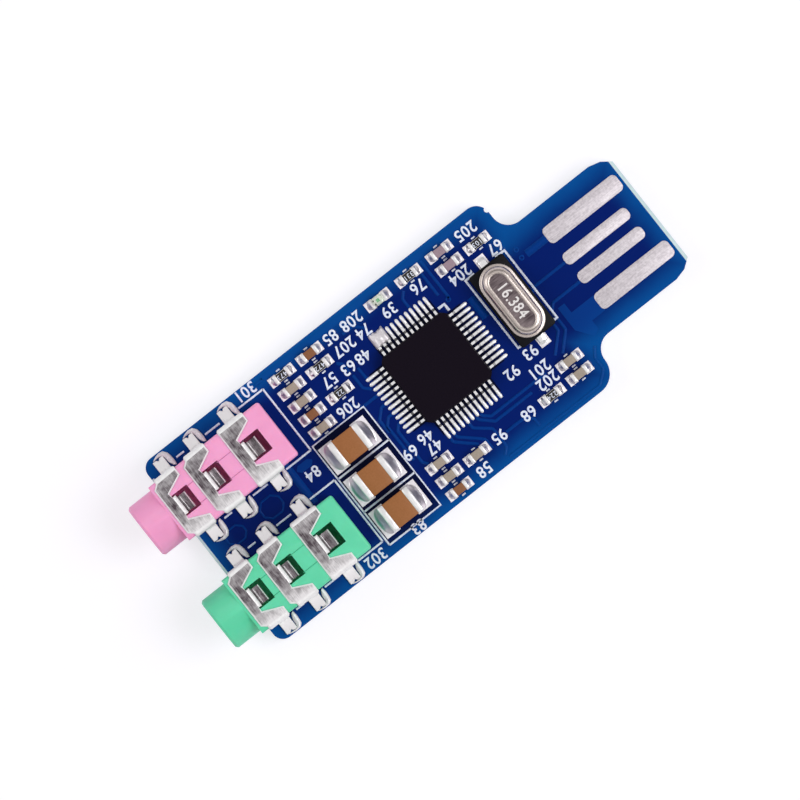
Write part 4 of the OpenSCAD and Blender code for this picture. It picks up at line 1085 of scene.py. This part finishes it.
bm = bmesh.new()
for jack in JACKS:
    body_low, body_high = box_mm(f"{jack}_jack_housing")
    for pole, foot in FOOT_X.items():
        low, high = box_mm(f"{jack}_jack_{pole}_spring")
        for side, wall in ((1, body_high.y), (-1, body_low.y)):
            x, y = low.x + foot, wall + side * (FOOT_FROM + FOOT_TO) / 2
            pad(bm, turned(x, y, 0), (0.1, FOOT_L - 0.1), (FOOT_TO - FOOT_FROM) / 2 - 0.1)
            place = turned(x + FOOT_L, wall, 0) @ Matrix.Diagonal((1, side, 1, 1))
            poured(bm, crescent(board_high.y - EDGE_ROOM - abs(wall)), 0.01, place, (6, 21))
bmesh.ops.recalc_face_normals(bm, faces=bm.faces)
finished("jack_joints", bm, [heaped_solder, wetted_pad], ["jack_solder"], smooth=50)

# The floor and the light: a white table, a wide soft lamp overhead and a camera straight above
sheet = bmesh.new()
bmesh.ops.create_grid(sheet, x_segments=1, y_segments=1, size=1.5)
floor_mesh = bpy.data.meshes.new("floor")
sheet.to_mesh(floor_mesh)
sheet.free()
floor = placed("floor", floor_mesh)
# Just below the board, so that the two faces don't flicker
floor.location.z = -0.2 * MM
table = bpy.data.materials.new("white_table")
table.use_nodes = True
tree = table.node_tree
tree.nodes.clear()
seen = add(tree, "ShaderNodeLightPath").outputs["Is Camera Ray"]
cloth = add(tree, "ShaderNodeBsdfDiffuse", {"Color": linear("#f4f2f8")})
glow = add(tree, "ShaderNodeEmission", {"Color": (1, 1, 1, 1), "Strength": 0.65})
dim = add(tree, "ShaderNodeBsdfDiffuse", {"Color": (0.4, 0.38, 0.43, 1)})
both = add(tree, "ShaderNodeAddShader", {0: glow, 1: dim})
mixed = add(tree, "ShaderNodeMixShader", {0: seen, 1: cloth, 2: both})
add(tree, "ShaderNodeOutputMaterial", {"Surface": mixed})
floor_mesh.materials.append(table)

world = bpy.data.worlds.new("studio")
bpy.context.scene.world = world
world.use_nodes = True
tree = world.node_tree
tree.nodes.clear()
path = add(tree, "ShaderNodeLightPath").outputs
# What metal and gloss show: a softly lit room, brightest low down, with a dark ring half way up
up = add(tree, "ShaderNodeTexCoord").outputs["Generated"]
height = add(tree, "ShaderNodeSeparateXYZ", {0: up})
ring = add(tree, "ShaderNodeValToRGB", {0: height.outputs["Z"]})
steps = ring.color_ramp.elements
steps[0].position, steps[1].position = 0.3, 1.0
steps[0].color = steps[1].color = (1, 1, 1, 1)
for at, level in ((0.5, 0.2), (0.7, 0.2), (0.9, 0.75)):
    steps.new(at).color = (level, level, level, 1)
steps[-1].color = (0.75, 0.75, 0.75, 1)
reflected = add(tree, "ShaderNodeBackground", {"Color": ring, "Strength": 1.0})
seen = add(tree, "ShaderNodeBackground", {"Color": (1, 1, 1, 1), "Strength": 1.0})
ambient = add(tree, "ShaderNodeBackground", {"Color": (1, 1, 1, 1), "Strength": 0.45})
glossy = add(tree, "ShaderNodeMixShader", {0: path["Is Glossy Ray"], 1: ambient, 2: reflected})
clear = add(tree, "ShaderNodeMath", {
    0: path["Is Camera Ray"], 1: path["Is Transmission Ray"]}, operation="MAXIMUM")
mixed = add(tree, "ShaderNodeMixShader", {0: clear, 1: glossy, 2: seen})
add(tree, "ShaderNodeOutputWorld", {"Surface": mixed})

LAMPS = [("key_lamp", (0.35, -0.25, 0.6), 0.45, 2.7), ("fill_lamp", (-0.4, 0.35, 0.55), 0.4, 1.2)]
for name, at, size, power in LAMPS:
    data = bpy.data.lights.new(name, "AREA")
    data.shape = "SQUARE"
    data.size = size
    data.energy = power
    lamp = placed(name, data)
    lamp.location = at
    lamp.rotation_euler = (-Vector(at)).to_track_quat("-Z", "Y").to_euler()

PHOTO_TURN = 38.2
# The point of the board in millimetres that the camera looks down on, and its height in metres
CAMERA_OVER = (-1.396, 0.394)
CAMERA_UP = 1.5
# 800 pixels of the photograph span this length at the board's top
VIEW_MM = 67.11
camera_data = bpy.data.cameras.new("camera")
camera_data.sensor_width = 36
camera_data.lens = 36 * CAMERA_UP / (VIEW_MM * MM)
camera = placed("camera", camera_data)
camera.location = (CAMERA_OVER[0] * MM, CAMERA_OVER[1] * MM, BOARD_TOP * MM + CAMERA_UP)
camera.rotation_euler = (0, 0, -math.radians(PHOTO_TURN))
bpy.context.scene.camera = camera
bpy.context.scene.view_settings.view_transform = "Standard"
